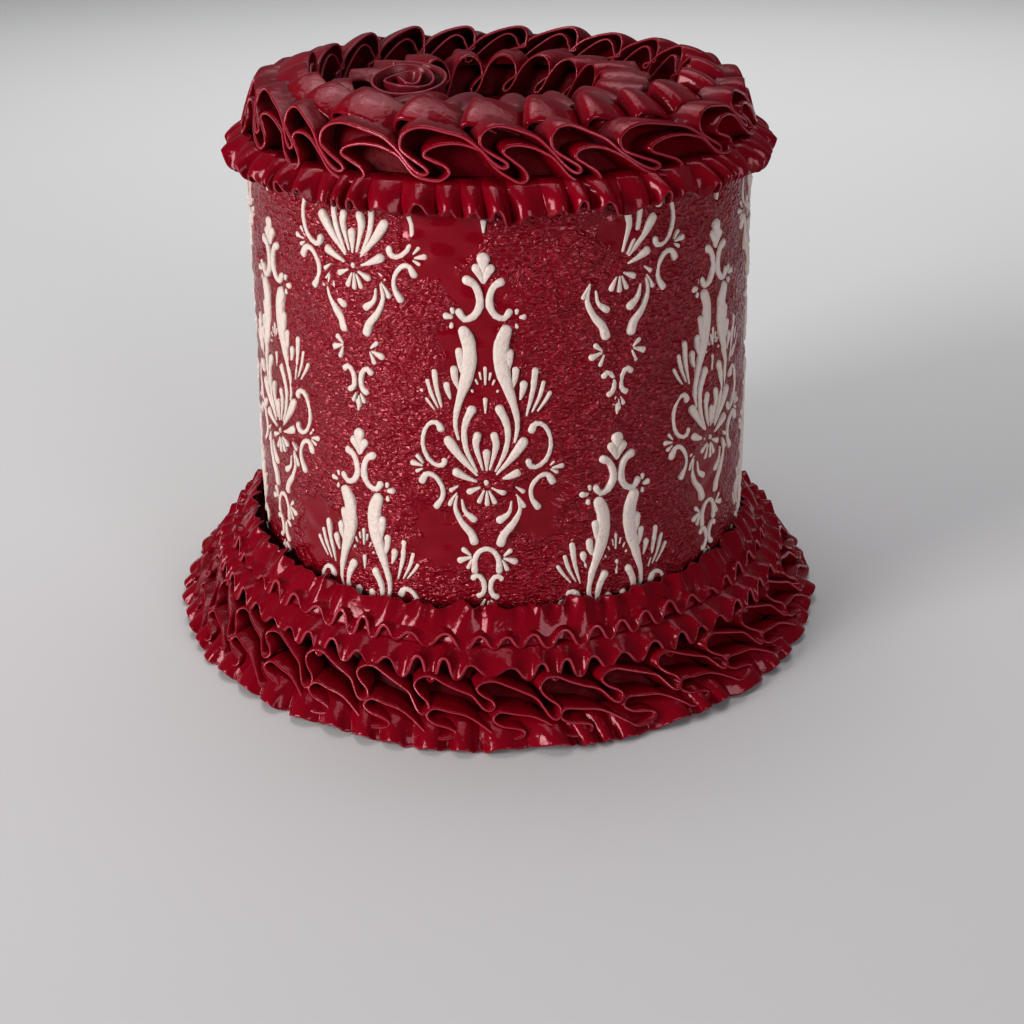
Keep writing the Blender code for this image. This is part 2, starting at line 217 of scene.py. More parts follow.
def thicken(thing: Piece, thickness: float, share: str) -> None:
    """Gives a ribbon its thickness, scaled by one of its attributes.

    Args:
        thing: The ribbon.
        thickness: Its greatest thickness.
        share: The attribute that holds each vertex's part of it.
    """
    make_active(thing)
    weights = np.empty(len(thing.data.vertices))
    thing.data.attributes[share].data.foreach_get("value", weights)
    group = thing.vertex_groups.new(name=share)
    for level in np.unique(np.round(weights, 2)):
        chosen = np.flatnonzero(np.round(weights, 2) == level)
        group.add(chosen.tolist(), float(level), "REPLACE")
    solid = thing.modifiers.new("thickness", "SOLIDIFY")
    solid.thickness = thickness
    solid.offset = 0.0
    solid.vertex_group = share
    solid.thickness_vertex_group = 0.0
    bpy.ops.object.modifier_apply(modifier=solid.name)
    thing.vertex_groups.clear()


def smooth(thing: Piece, angle: float = 180.0) -> None:
    """Shades a piece smooth below an angle.

    Args:
        thing: The piece.
        angle: The angle in degrees between faces above which an edge stays sharp.
    """
    make_active(thing)
    if angle >= 180.0:
        bpy.ops.object.shade_smooth()
    else:
        bpy.ops.object.shade_smooth_by_angle(angle=math.radians(angle))


class Unevenness:
    """Seeded hand-made unevenness."""

    def __init__(self, seed: int) -> None:
        """Starts a row of numbers from a seed."""
        self.draw = np.random.default_rng(seed)

    def each(self, count: int, spread: float) -> Array:
        """One number for each of some folds, within a spread about zero."""
        return self.draw.uniform(-spread, spread, count)

    def drift(self, share: Array, lowest: int, highest: int, spread: float) -> Array:
        """A smooth wander round the ring, closed on itself.

        Args:
            share: The shares round the ring.
            lowest: Waves round the ring of its slowest part.
            highest: Waves round the ring of its quickest part.
            spread: About how far it goes from zero.

        Returns:
            The wander at each share.
        """
        total = np.zeros_like(share)
        counts = np.unique(np.linspace(lowest, highest, 9).round().astype(int))
        for count in counts:
            total += self.draw.normal() * np.sin(TURN * count * share + self.draw.uniform(0, TURN))
        return spread * total / math.sqrt(len(counts))


class Nodes:
    """A small helper that adds shader nodes and feeds their sockets."""

    def __init__(self, tree: bpy.types.NodeTree) -> None:
        """Works on one node tree."""
        self.tree = tree

    def feed(self, socket: Socket, value: Fed) -> None:
        """Feeds a socket.

        Args:
            socket: The socket.
            value: The output that is joined to it, or its own value.
        """
        if isinstance(value, Socket):
            self.tree.links.new(value, socket)
        else:
            socket.default_value = value

    def add(self, kind: str, **values: object) -> bpy.types.Node:
        """Adds a node, sets its properties and feeds its sockets.

        Args:
            kind: The node's type name.
            **values: Properties by name, and input sockets by name with spaces as underscores.

        Returns:
            The node.
        """
        node = self.tree.nodes.new(kind)
        for key, value in values.items():
            socket = node.inputs.get(key.replace("_", " "))
            if socket is None:
                setattr(node, key, value)
            else:
                self.feed(socket, value)
        return node

    def share(self, name: str) -> Socket:
        """Reads a number that each vertex keeps under a name."""
        return self.add("ShaderNodeAttribute", attribute_name=name).outputs["Fac"]

    def sums(self, operation: str, *values: Fed, kind: str = "ShaderNodeMath") -> Socket:
        """Does one step of arithmetic.

        Args:
            operation: The step's name.
            *values: What it is done with.
            kind: The type name of the node, another one for vectors.

        Returns:
            What it comes to.
        """
        node = self.add(kind, operation=operation)
        for socket, value in zip(node.inputs, values):
            self.feed(socket, value)
        return node.outputs[0]

    def mix(self, share: Fed, first: Fed, last: Fed) -> Socket:
        """Mixes two colours.

        Args:
            share: The last one's share.
            first: The first colour.
            last: The last colour.

        Returns:
            The mixed colour.
        """
        node = self.add("ShaderNodeMix", data_type="RGBA")
        for index, value in ((0, share), (6, first), (7, last)):
            self.feed(node.inputs[index], value)
        return node.outputs[2]

    def spread(self, value: Fed, lowest: float = 0.0, highest: float = 1.0, to: Pair = (0.0, 1.0),
               kind: str = "LINEAR") -> Socket:
        """Spreads one range of a value over another, and holds it at the ends.

        Args:
            value: The value.
            lowest: Where its range starts.
            highest: Where its range ends.
            to: What it is there.
            kind: How it runs between them, LINEAR or SMOOTHSTEP.

        Returns:
            The spread value.
        """
        node = self.add("ShaderNodeMapRange", interpolation_type=kind, Value=value, From_Min=lowest,
                        From_Max=highest, To_Min=to[0], To_Max=to[1])
        return node.outputs["Result"]


def skin_group() -> bpy.types.NodeTree:
    """Builds the group that gives smoothed icing its pits and its smeared patches.

    Returns:
        The node group: a fine height, a mask of the patches that are smeared smooth, and a slow
        cloud mask.
    """
    tree = bpy.data.node_groups.new("icing_skin", "ShaderNodeTree")
    for way, names in (("INPUT", ("Pit Scale", "Patch Scale", "Stretch", "Smeared")),
                       ("OUTPUT", ("Height", "Patch", "Cloud"))):
        for name in names:
            tree.interface.new_socket(name, in_out=way, socket_type="NodeSocketFloat")
    nodes = Nodes(tree)
    given = nodes.add("NodeGroupInput")
    place = nodes.add("ShaderNodeTexCoord").outputs["Object"]
    stretch = nodes.add("ShaderNodeCombineXYZ", X=1.0, Y=1.0, Z=given.outputs["Stretch"])
    stretched = nodes.sums("MULTIPLY", place, stretch.outputs[0], kind="ShaderNodeVectorMath")
    pits = nodes.add("ShaderNodeTexNoise", Vector=stretched, Scale=given.outputs["Pit Scale"],
                     Detail=1.3, Roughness=0.42, Distortion=0.45)
    patch = nodes.add("ShaderNodeTexNoise", Vector=place, Scale=given.outputs["Patch Scale"],
                      Detail=4.0, Roughness=0.6, Distortion=0.8)
    cloud = nodes.add("ShaderNodeTexNoise", Vector=place, Scale=75.0, Detail=3.0, Roughness=0.55)
    broken = nodes.sums("ADD", patch.outputs["Fac"], given.outputs["Smeared"])
    nodes.add("NodeGroupOutput", Height=pits.outputs["Fac"], Cloud=cloud.outputs["Fac"],
              Patch=nodes.spread(broken, 0.62, 0.86, kind="SMOOTHSTEP"))
    return tree


@dataclass(frozen=True)
class Icing:
    """A finish of coloured icing. Where two numbers are given, the second is for patches that are
    smeared smooth. On the wall the high parts of its skin take a lighter pink, a painted glint, and
    on the cream a pinkish colour. Its edge colour is a painted highlight along a ribbon's free edges."""

    name: str
    deep: Triple
    light: Triple
    roughness: Pair
    pit_scale: float
    pit_depth: Pair
    patch_scale: float
    specular: float
    stretch: float = 1.0
    glint: Triple = (1.0, 1.0, 1.0)
    crest_glint_and_tint: Triple | None = None
    crest_share: float = 0.0
    crest_range: Pair = (0.50, 0.66)
    # The edge colour is a painted highlight: how much of it the very rim of a ribbon takes, and from
    # where.
    edge: Triple | None = None
    edge_highlight_share: float = 0.65
    edge_highlight_start: float = 0.993
    torn: Triple = (0.16, 0.045, 0.055)
    torn_dullness: float = 0.30

    def make(self, skin: bpy.types.NodeTree) -> bpy.types.Material:
        """Builds the material.

        Args:
            skin: The shared group of pits and patches.

        Returns:
            The material.
        """
        material = bpy.data.materials.new(self.name)
        material.use_nodes = True
        nodes = Nodes(material.node_tree)
        shader = material.node_tree.nodes["Principled BSDF"]
        shader.inputs["Specular IOR Level"].default_value = self.specular
        shader.inputs["Specular Tint"].default_value = (*self.glint, 1.0)
        group = nodes.add("ShaderNodeGroup", node_tree=skin, Smeared=nodes.share("smeared"),
                          Pit_Scale=self.pit_scale, Patch_Scale=self.patch_scale, Stretch=self.stretch)
        height, patch = group.outputs["Height"], group.outputs["Patch"]
        colour = nodes.mix(group.outputs["Cloud"], (*self.deep, 1.0), (*self.light, 1.0))
        if self.crest_glint_and_tint:
            # Painted glint on the wall, a pinkish colour on the cream: the high parts of the skin,
            # outside the smeared patches, are mixed towards the given colour.
            high = nodes.spread(height, *self.crest_range, (0.0, self.crest_share), "SMOOTHSTEP")
            glint_tint_mask = nodes.sums("MULTIPLY", high, nodes.sums("SUBTRACT", 1.0, patch))
            colour = nodes.mix(glint_tint_mask, colour, (*self.crest_glint_and_tint, 1.0))
        dullness = nodes.spread(patch, to=self.roughness)
        if self.edge:
            matt = nodes.share("matt")
            dullness = nodes.sums("ADD", dullness, nodes.spread(matt, to=(0.0, self.torn_dullness)))
            # Painted highlight: the outermost rows of a free edge, and of a torn root edge, are mixed
            # towards the lighter edge colour.
            rim = nodes.spread(nodes.share("edge"), self.edge_highlight_start, to=(0.0, self.edge_highlight_share))
            colour = nodes.mix(rim, nodes.mix(matt, colour, (*self.torn, 1.0)), (*self.edge, 1.0))
        depth = nodes.sums("MULTIPLY", height, nodes.spread(patch, to=self.pit_depth))
        bump = nodes.add("ShaderNodeBump", Height=depth, Strength=1.0, Distance=1.0)
        nodes.feed(shader.inputs["Base Color"], colour)
        nodes.feed(shader.inputs["Roughness"], dullness)
        nodes.feed(shader.inputs["Normal"], bump.outputs["Normal"])
        return material


# Painted glint: the wall's lighter pink on the high parts of its pits stands in for the window's glints
# on the orange peel.
WALL_ICING = Icing(
    "wall_wine_icing", deep=(0.125, 0.0003, 0.005), light=(0.185, 0.0006, 0.009),
    roughness=(0.12, 0.11), pit_scale=600.0, pit_depth=(0.00140, 0.00004), patch_scale=110.0,
    specular=0.54, stretch=1.6, glint=(1.0, 0.46, 0.50), crest_glint_and_tint=(0.38, 0.038, 0.065), crest_share=0.36,
)
# The piped icing's lighter pink edge colour is a painted highlight along the ribbons' free edges.
PIPED_ICING = Icing(
    "piped_wine_icing", deep=(0.135, 0.0004, 0.006), light=(0.200, 0.0008, 0.011),
    roughness=(0.17, 0.12), pit_scale=420.0, pit_depth=(0.00020, 0.00003), patch_scale=60.0,
    specular=0.34, glint=(1.0, 0.62, 0.66), edge=(0.33, 0.055, 0.08),
)
# Painted shade: darker, duller wine icing for the two mounds under the rows, standing in for the shade
# in the hollows between and beneath the ruffles.
PAINTED_SHADE_ICING = Icing(
    "painted_shade_wine_icing", deep=(0.085, 0.0003, 0.004), light=(0.135, 0.0006, 0.007),
    roughness=(0.45, 0.35), pit_scale=420.0, pit_depth=(0.00030, 0.00010), patch_scale=60.0,
    specular=0.06,
)
CREAM_ICING = Icing(
    "cream_damask_icing", deep=(0.50, 0.42, 0.385), light=(0.62, 0.535, 0.49),
    roughness=(0.48, 0.40), pit_scale=900.0, pit_depth=(0.00030, 0.00010), patch_scale=80.0,
    specular=0.3, crest_glint_and_tint=(0.60, 0.34, 0.34), crest_share=0.35,
)


@dataclass
class Wall:
    """The cake under its icing: a smoothed drum with a slight taper and a rounded top edge.

    A smeared patch is the turn of its middle in degrees, its height in millimetres, and how far it
    goes from there both ways and up and down."""

    base_radius: float = 0.0793
    top_radius: float = 0.0751
    height: float = 0.1550
    edge_rounding: float = 0.0016
    foot_share: float = 0.98
    foot_rounding: float = 0.0006
    around: int = 480
    up: int = 150
    sway: float = 0.00016
    sway_height: float = 0.03
    sway_waves: tuple = ((5, 9), (9, 4), (14, 17), (23, 6), (31, 26), (44, 13))
    seed: int = 21
    smear: float = 0.55
    smeared: tuple = (
        (-13.0, 141.0, 9.0, 16.0), (-5.0, 112.0, 8.0, 26.0), (-42.0, 44.0, 10.0, 16.0),
        (-12.0, 52.0, 9.0, 12.0), (8.0, 62.0, 8.0, 12.0), (24.0, 140.0, 6.0, 8.0),
        (-66.0, 96.0, 6.0, 20.0), (52.0, 60.0, 8.0, 16.0), (118.0, 118.0, 10.0, 22.0),
        (165.0, 60.0, 12.0, 18.0), (-140.0, 100.0, 12.0, 20.0), (-104.0, 50.0, 9.0, 18.0),
    )

    def radius(self, height: Array) -> Array:
        """The wall's radius at a height."""
        return self.base_radius + (self.top_radius - self.base_radius) * height / self.height

    def profile(self, share: Array) -> tuple[Array, Array]:
        """The outline from the middle of the underside to the middle of the top.

        Args:
            share: Shares along the outline.

        Returns:
            The radius and the height at each share.
        """
        corner = [(self.top_radius + self.edge_rounding * (math.sin(angle) - 1.0),
                   self.height + self.edge_rounding * (math.cos(angle) - 1.0))
                  for angle in np.linspace(math.pi / 2, 0, 5)]
        foot = [(0.0, 0.0), (self.base_radius * self.foot_share, 0.0),
                (self.base_radius, self.foot_rounding)]
        radii, heights = zip(*foot, *corner, (0.0, self.height))
        stops = [0.0, 0.02, 0.04, 0.92, 0.935, 0.95, 0.965, 0.98, 1.0]
        return np.interp(share, stops, radii), np.interp(share, stops, heights)

    def build(self) -> Piece:
        """Shapes the drum, with the slow sway of a hand-smoothed coat.

        Returns:
            The drum, with its smeared patches marked for the finish.
        """
        drum, along, across = add_sheet("iced_drum", self.around, self.up)
        radius, height = self.profile(across)
        draw = Unevenness(self.seed).draw
        sway = np.zeros_like(along)
        for count, rise in self.sway_waves:
            sway += (draw.normal() * np.sin(TURN * count * along + draw.uniform(0, TURN))
                     * np.cos(rise * height / self.sway_height + draw.uniform(0, TURN)))
        inside = np.clip((0.95 - across) / 0.04, 0, 1) * np.clip((across - 0.03) / 0.02, 0, 1)
        radius = np.maximum(radius + self.sway * sway * inside, 0.0)
        set_places(drum, on_cake(TURN * along, radius, height))
        share = np.zeros_like(along)
        for turn, middle, wide, tall in self.smeared:
            off = (np.degrees(TURN * along) - turn + 180.0) % 360.0 - 180.0
            share = np.maximum(share, np.exp(-(off / wide) ** 2 - ((height / MM - middle) / tall) ** 2))
        add_share(drum, "smeared", self.smear * share)
        weld(drum, outward=True)
        smooth(drum, 50.0)
        return drum


@dataclass
class Damask:
    """The raised pattern of cream strokes. A stroke is a line of (across, up, width) in
    millimetres from the dot under the middle flower, and those of the sides are mirrored too."""

    wall: Wall
    seed: int = 5
    copy_seed: int = 100
    wobbles: int = 40
    motif_height: float = 0.0700
    lift: float = 0.0595
    lowering: float = 0.0537
    lowest: float = 0.0315
    highest: float = 0.1580
    tuck: Pair = (0.1455, 0.0055)
    low_tuck: Pair = (0.0300, 0.0030)
    rise: float = 0.00095
    sink: float = 0.0006
    width_share: float = 0.84
    least_width: float = 0.5
    full_width: float = 2.6
    least_rise: float = 0.45
    uneven_width: Pair = (0.05, 0.07)
    uneven_size: float = 0.04
    uneven_place: float = 0.00022
    part_length: float = 1.3
    parts: tuple[int, int] = (3, 14)
    caps: tuple[Pair, ...] = ((0.50, 0.12), (0.44, 0.50), (0.27, 0.86))
    corners: tuple[int, ...] = (0, 28, 58, 90, 122, 152, 180, 180, 0)
    first_turn: float = math.radians(-3.0)
    step: float = math.radians(28.1)
    front_each_side: int = 3
    rear: int = 5
    middle: tuple = (
        ((0.0, 60.2, 0.8), (0.0, 62.4, 2.4), (0.0, 64.6, 4.4)),
        ((0.0, 29.9, 0.7), (0.0, 34.4, 1.3)),
        ((0.0, 21.8, 0.6), (0.0, 25.6, 1.6)),
        ((0.0, 4.4, 0.8), (0.0, 8.0, 2.2), (0.0, 9.8, 2.8)),
        ((0.0, 0.4, 1.6), (0.0, 0.7, 1.7)),
        ((0.0, -1.9, 0.7), (0.0, -5.6, 1.9)),
        ((-3.5, -27.0, 2.4), (-3.4, -23.6, 2.0), (-2.1, -21.0, 1.8), (0.0, -20.0, 1.8),
         (2.1, -21.0, 1.8), (3.4, -23.6, 2.0), (3.5, -27.0, 2.4)),
        ((0.0, -37.0, 0.7), (0.0, -39.6, 2.0)),
        ((0.0, 72.0, 0.8), (0.0, 74.6, 1.9)),
    )
    sides: tuple = (
        ((0.3, 58.6, 1.0), (0.9, 60.4, 2.2), (1.9, 62.3, 3.0)),
        ((4.4, 59.0, 3.0), (2.6, 57.9, 2.4), (1.4, 55.4, 2.4), (1.2, 52.2, 2.6), (2.8, 49.4, 2.3),
         (5.2, 48.6, 2.1), (6.6, 50.4, 2.5)),
        ((9.3, 48.7, 1.6), (10.4, 48.9, 2.2)),
        ((8.5, 50.2, 1.2), (8.6, 50.9, 1.5)),
        ((8.7, 46.8, 1.3), (8.8, 46.2, 1.5)),
        ((5.6, 45.4, 3.9), (4.4, 42.0, 4.8), (4.2, 37.5, 5.0), (5.0, 32.4, 4.4), (6.7, 27.0, 3.2),
         (8.2, 21.6, 2.1), (8.6, 17.2, 1.6), (7.8, 13.2, 0.9)),
        ((6.9, 39.0, 2.6), (6.6, 36.4, 2.6), (6.2, 33.4, 1.6)),
        ((8.4, 34.0, 2.5), (8.2, 31.6, 2.2), (7.4, 28.8, 1.2)),
        ((10.4, 29.6, 2.4), (10.2, 28.0, 2.1), (9.5, 25.6, 0.8)),
        ((13.8, 33.3, 2.1), (13.1, 27.6, 1.7), (11.5, 21.0, 0.6)),
        ((16.1, 30.2, 1.5), (15.0, 26.2, 1.4), (12.9, 21.8, 0.6)),
        ((17.9, 27.0, 1.4), (16.6, 24.8, 1.2), (14.4, 21.8, 0.6)),
        ((1.5, 33.0, 0.9), (1.2, 31.4, 0.6)),
        ((2.7, 31.0, 0.8), (2.2, 29.9, 0.6)),
        ((3.5, 28.2, 0.9), (3.4, 28.0, 0.9)),
        ((12.4, 16.4, 2.7), (13.4, 18.2, 2.0), (15.6, 17.9, 1.6), (17.4, 15.2, 1.5),
         (18.0, 11.2, 1.5), (16.8, 7.2, 1.6), (14.2, 4.9, 1.7), (12.0, 5.2, 2.0), (11.5, 6.6, 2.3)),
        ((3.9, 22.4, 3.0), (5.5, 18.9, 2.4), (6.1, 15.0, 2.0), (5.3, 10.0, 1.7), (2.7, 4.4, 0.8)),
        ((2.5, 14.6, 2.7), (2.9, 11.4, 2.2), (1.2, 4.8, 0.8)),
        ((10.2, 13.0, 3.4), (7.3, 8.8, 2.6), (2.7, 3.4, 0.8)),
        ((8.6, 3.8, 2.9), (5.9, 2.4, 2.1), (2.9, 1.2, 0.8)),
        ((4.6, -2.2, 2.3), (1.7, -0.9, 0.8)),
        ((2.3, -5.0, 1.8), (0.9, -1.8, 0.7)),
        ((21.2, 5.2, 2.0), (18.6, 4.7, 0.7)),
        ((19.5, 7.4, 1.5), (18.0, 5.7, 0.6)),
        ((19.8, 3.0, 1.5), (18.2, 3.9, 0.6)),
        ((18.6, 0.4, 2.7), (17.2, 2.6, 2.0), (14.8, 2.2, 1.7), (12.7, -0.8, 1.6), (12.6, -4.2, 1.7),
         (14.4, -7.2, 2.5)),
        ((8.1, -0.5, 0.6), (10.0, -1.9, 1.6)),
        ((8.6, -3.0, 0.6), (9.9, -4.8, 1.1), (10.6, -6.4, 1.6)),
        ((8.5, -3.6, 0.8), (9.1, -7.4, 1.5), (7.4, -11.6, 2.2), (4.7, -15.0, 2.8),
         (3.7, -17.8, 3.2)),
        ((6.9, -5.2, 0.7), (6.2, -8.6, 1.5), (3.7, -10.7, 2.6)),
        ((4.9, -22.2, 0.8), (6.6, -20.7, 1.8)),
        ((5.0, -22.9, 0.9), (7.9, -23.9, 2.3)),
        ((4.6, -23.6, 0.8), (5.7, -26.2, 1.6)),
        ((4.2, -29.3, 2.2), (2.9, -28.4, 1.8), (1.4, -30.0, 1.8), (0.95, -32.4, 1.8),
         (1.4, -34.4, 1.8), (2.6, -35.2, 2.2)),
        ((0.9, -36.4, 0.7), (1.8, -38.4, 1.6)),
    )

    def columns(self) -> list[tuple[float, Column]]:
        """Lists the columns of the pattern.

        Returns:
            Each column's turn, and how it starts.
        """
        found = [(self.first_turn + k * self.step, Column(k % 2))
                 for k in range(-self.front_each_side, self.front_each_side + 1)]
        last = found[-1][0]
        gap = (TURN - 2 * self.front_each_side * self.step) / (self.rear + 1)
        return found + [(last + k * gap, Column((k + 1) % 2)) for k in range(1, self.rear + 1)]

    @staticmethod
    def smooth_line(points: tuple, steps: int) -> Array:
        """Runs a smooth line through the points of a stroke.

        Args:
            points: The stroke.
            steps: How many parts the line has.

        Returns:
            Rows of across, up, width.
        """
        known = np.array(points, float)
        if len(known) == 2:
            return between(known[0], known[1], np.linspace(0, 1, steps + 1)[:, None])
        padded = np.vstack([2 * known[0] - known[1], known, 2 * known[-1] - known[-2]])
        line = []
        for at in np.linspace(0, len(known) - 1, steps + 1):
            k = min(int(at), len(known) - 2)
            line.append(curve_point(padded[k:k + 4], at - k))
        return np.array(line)

    def stroke(self, points: tuple, wobble: Array) -> Piece:
        """Models one stroke flat: a soft bead with round ends, across, outwards and up.

        Args:
            points: The stroke.
            wobble: How much wider or narrower each part of it is.

        Returns:
            The bead.
        """
        length = sum(math.dist(a[:2], b[:2]) for a, b in zip(points, points[1:]))
        line = self.smooth_line(points, int(np.clip(round(length / self.part_length), *self.parts)))
        wide = np.maximum(self.width_share * line[:, 2], self.least_width)
        line[:, 2] = wide * (1 + wobble[:len(line)])
        ahead = np.gradient(line[:, :2], axis=0)
        ahead /= np.linalg.norm(ahead, axis=1)[:, None]
        ends = []
        for end, way in ((0, -1), (-1, 1)):
            width = line[end, 2]
            ends.append([(*(line[end, :2] + way * ahead[end] * reach * width), width * part,
                          *ahead[end], part) for reach, part in self.caps])
        body = [(*row, *way, 1.0) for row, way in zip(line, ahead)]
        spine = np.array(ends[0] + body + ends[1][::-1])
        ring = len(self.corners)
        bead, along, across = add_sheet("stroke", len(spine) - 1, ring)
        here = spine[np.rint(along * (len(spine) - 1)).astype(int)]
        corner = np.rint(across * ring).astype(int) % ring
        angle = np.array(self.corners)[corner] * math.pi / 180
        low = np.clip(here[:, 2] / self.full_width, self.least_rise, 1.0) * here[:, 5] ** 0.5
        top = self.rise / MM * low * np.maximum(np.sin(angle), 0) ** 0.42 - 0.05
        out = np.where(corner < ring - 2, top, -self.sink / MM)
        side = np.cos(angle) * here[:, 2] / 2
        places = [here[:, 0] - here[:, 4] * side, out, here[:, 1] + here[:, 3] * side]
        set_places(bead, MM * np.stack(places, axis=1))
        weld(bead)
        with editing(bead, "DESELECT"):
            bpy.ops.mesh.select_non_manifold()
            bpy.ops.mesh.edge_face_add()
            bpy.ops.mesh.select_all(action="SELECT")
            bpy.ops.mesh.normals_make_consistent(inside=False)
        return bead

    def motif(self) -> tuple[Array, list[tuple[int, int]], Piece]:
        """Models the whole motif flat.

        Returns:
            Its points, the range of points that each stroke has, and its object.
        """
        uneven = Unevenness(self.seed)
        slight, strong = self.uneven_width
        beads = [self.stroke(points, uneven.each(self.wobbles, slight)) for points in self.middle]
        for points in self.sides:
            for way in (1, -1):
                turned = tuple((way * a, b, w) for a, b, w in points)
                beads.append(self.stroke(turned, uneven.each(self.wobbles, strong)))
        ranges, start = [], 0
        for bead in beads:
            ranges.append((start, start + len(bead.data.vertices)))
            start = ranges[-1][1]
        whole = join_pieces(beads)
        return places_of(whole), ranges, whole

    @staticmethod
    def is_lost(column: int, raised: bool, across: float, up: float) -> bool:
        """Whether a stroke has come off with the stencil.

        Args:
            column: The column's number, from the left of the front.
            raised: Whether the motif stands above full height.
            across: Where the stroke is, in millimetres to the right of the motif's dot.
            up: Where it is, in millimetres above that dot.

        Returns:
            True where the stroke is missing.
        """
        arch = raised and abs(across) < 1.5 and -26.0 < up < -20.0
        return arch or (column == 4 and raised and across < 1.0 and -2.0 < up < 30.0)

    def lay(self, flat: Array, ranges: list[tuple[int, int]], whole: Piece, turn: float,
            shift: float, column: int) -> Piece | None:
        """Lays a copy of the motif round the wall, without the strokes that the borders cover.

        Args:
            flat: The flat motif's points.
            ranges: The range of points of each stroke.
            whole: The flat motif.
            turn: The column's turn.
            shift: How far the motif stands above full height.
            column: The column's number.

        Returns:
            The laid copy, or nothing where no stroke is left.
        """
        uneven = Unevenness(self.copy_seed + 7 * column + (shift > 0))
        height = self.motif_height + shift
        copy = whole.copy()
        copy.data = whole.data.copy()
        bpy.context.scene.collection.objects.link(copy)
        places = flat.copy()
        hidden = np.zeros(len(flat), bool)
        for first, last in ranges:
            part = places[first:last]
            middle = part[:, [0, 2]].mean(axis=0)
            size = 1 + uneven.draw.uniform(-self.uneven_size, self.uneven_size)
            part[:, [0, 2]] = middle + (part[:, [0, 2]] - middle) * size
            part[:, [0, 2]] += uneven.each(2, self.uneven_place)
            top = part[:, 2].max() + height
            lost = self.is_lost(column, shift > 0, middle[0] / MM, middle[1] / MM)
            hidden[first:last] = lost or top < self.lowest or top > self.highest
        up = places[:, 2] + height
        for (start, room), way in ((self.tuck, 1), (self.low_tuck, -1)):
            over = np.maximum(way * (up - start), 0.0)
            up = np.where(over > 0, start + way * room * (1 - np.exp(-over / room)), up)
        radius = self.wall.radius(up)
        set_places(copy, on_cake(turn + places[:, 0] / radius, radius + places[:, 1], up))
        with editing(copy, "DESELECT"):
            bpy.ops.object.mode_set(mode="OBJECT")
            copy.data.vertices.foreach_set("select", hidden)
            bpy.ops.object.mode_set(mode="EDIT")
            bpy.ops.mesh.delete(type="VERT")
        if len(copy.data.vertices) == 0:
            bpy.data.objects.remove(copy)
            return None
        return copy

    def build(self) -> list[Piece]:
        """Models the pattern of every column.

        Returns:
            The pattern of the full columns and of the columns between them.
        """
        flat, ranges, whole = self.motif()
        laid: dict[Column, list[Piece]] = {Column.FULL: [], Column.HALF: []}
        for k, (turn, column) in enumerate(self.columns()):
            for shift in (0.0,) if column is Column.FULL else (self.lift, -self.lowering):
                copy = self.lay(flat, ranges, whole, turn, shift, k)
                if copy is not None:
                    laid[column].append(copy)
        bpy.data.objects.remove(whole)
        pieces = []
        for column, copies in laid.items():
            piece = join_pieces(copies)
            piece.name = piece.data.name = f"damask_{column.name.lower()}_columns"
            smooth(piece, 60.0)
            pieces.append(piece)
        return pieces


def taper(row: Array, outermost: float, second: float, rest: Array | float = 1.0) -> Array:
    """The share of its thickness that a ribbon has in its rows of points, counted from an edge."""
    return np.select([row == 0, row == 1], [outermost, second], rest)


@dataclass
class PipedRow:
    """A ribbon of icing piped in a ring. Subclasses give its middle surface.

    A torn one has a second free edge at its root. How matt it is is given at the root and at the
    edge. The ring can be shifted across and backwards, and squeezed from its two sides."""

    name: str
    seed: int
    along: int
    across: int
    thickness: float
    edge_thickness: float
    torn: bool = False
    torn_edge: float = 0.996
    matt: Pair = (0.0, 0.0)
    shift: Pair = (0.0, 0.0)
    squeeze: float = 0.0
    wear_seed: int = 900

    def middle(self, along: Array, reach: Array) -> Array:
        """The ribbon's middle surface, from its root (reach 0) to its free edge (reach 1)."""
        raise NotImplementedError

    def build(self) -> Piece:
        """Shapes the ribbon from a sheet and gives it its thickness.

        Returns:
            The ribbon, with its free edge marked for the finish, which paints a highlight along it.
        """
        ribbon, along, across = add_sheet(self.name, self.along, self.across)
        reach = 0.5 - 0.5 * np.cos(np.pi * across) if self.torn else 1.0 - (1.0 - across) ** 2.0
        places = self.middle(along, reach) * (1 - self.squeeze, 1.0, 1.0)
        set_places(ribbon, places + np.array((*self.shift, 0.0)))
        body = between(self.edge_thickness / self.thickness, 1.0, 1.0 - reach)
        tip = taper(np.rint((1.0 - across) * self.across), 0.35, 0.8)
        edge = reach
        if self.torn:
            tip = tip * taper(np.rint(across * self.across), 0.3, 0.8)
            edge = np.maximum(reach, self.torn_edge * (1.0 - reach))
        add_share(ribbon, "body", body * tip)
        # This share also places the painted highlight on the free edge, and on a torn root edge.
        add_share(ribbon, "edge", edge)
        worn = Unevenness(self.seed + self.wear_seed).drift(along, 9, 90, 0.35)
        add_share(ribbon, "matt", np.clip(between(*self.matt, reach) * (1.0 + worn), 0.0, 1.0))
        weld(ribbon)
        thicken(ribbon, self.thickness, "body")
        smooth(ribbon)
        return ribbon


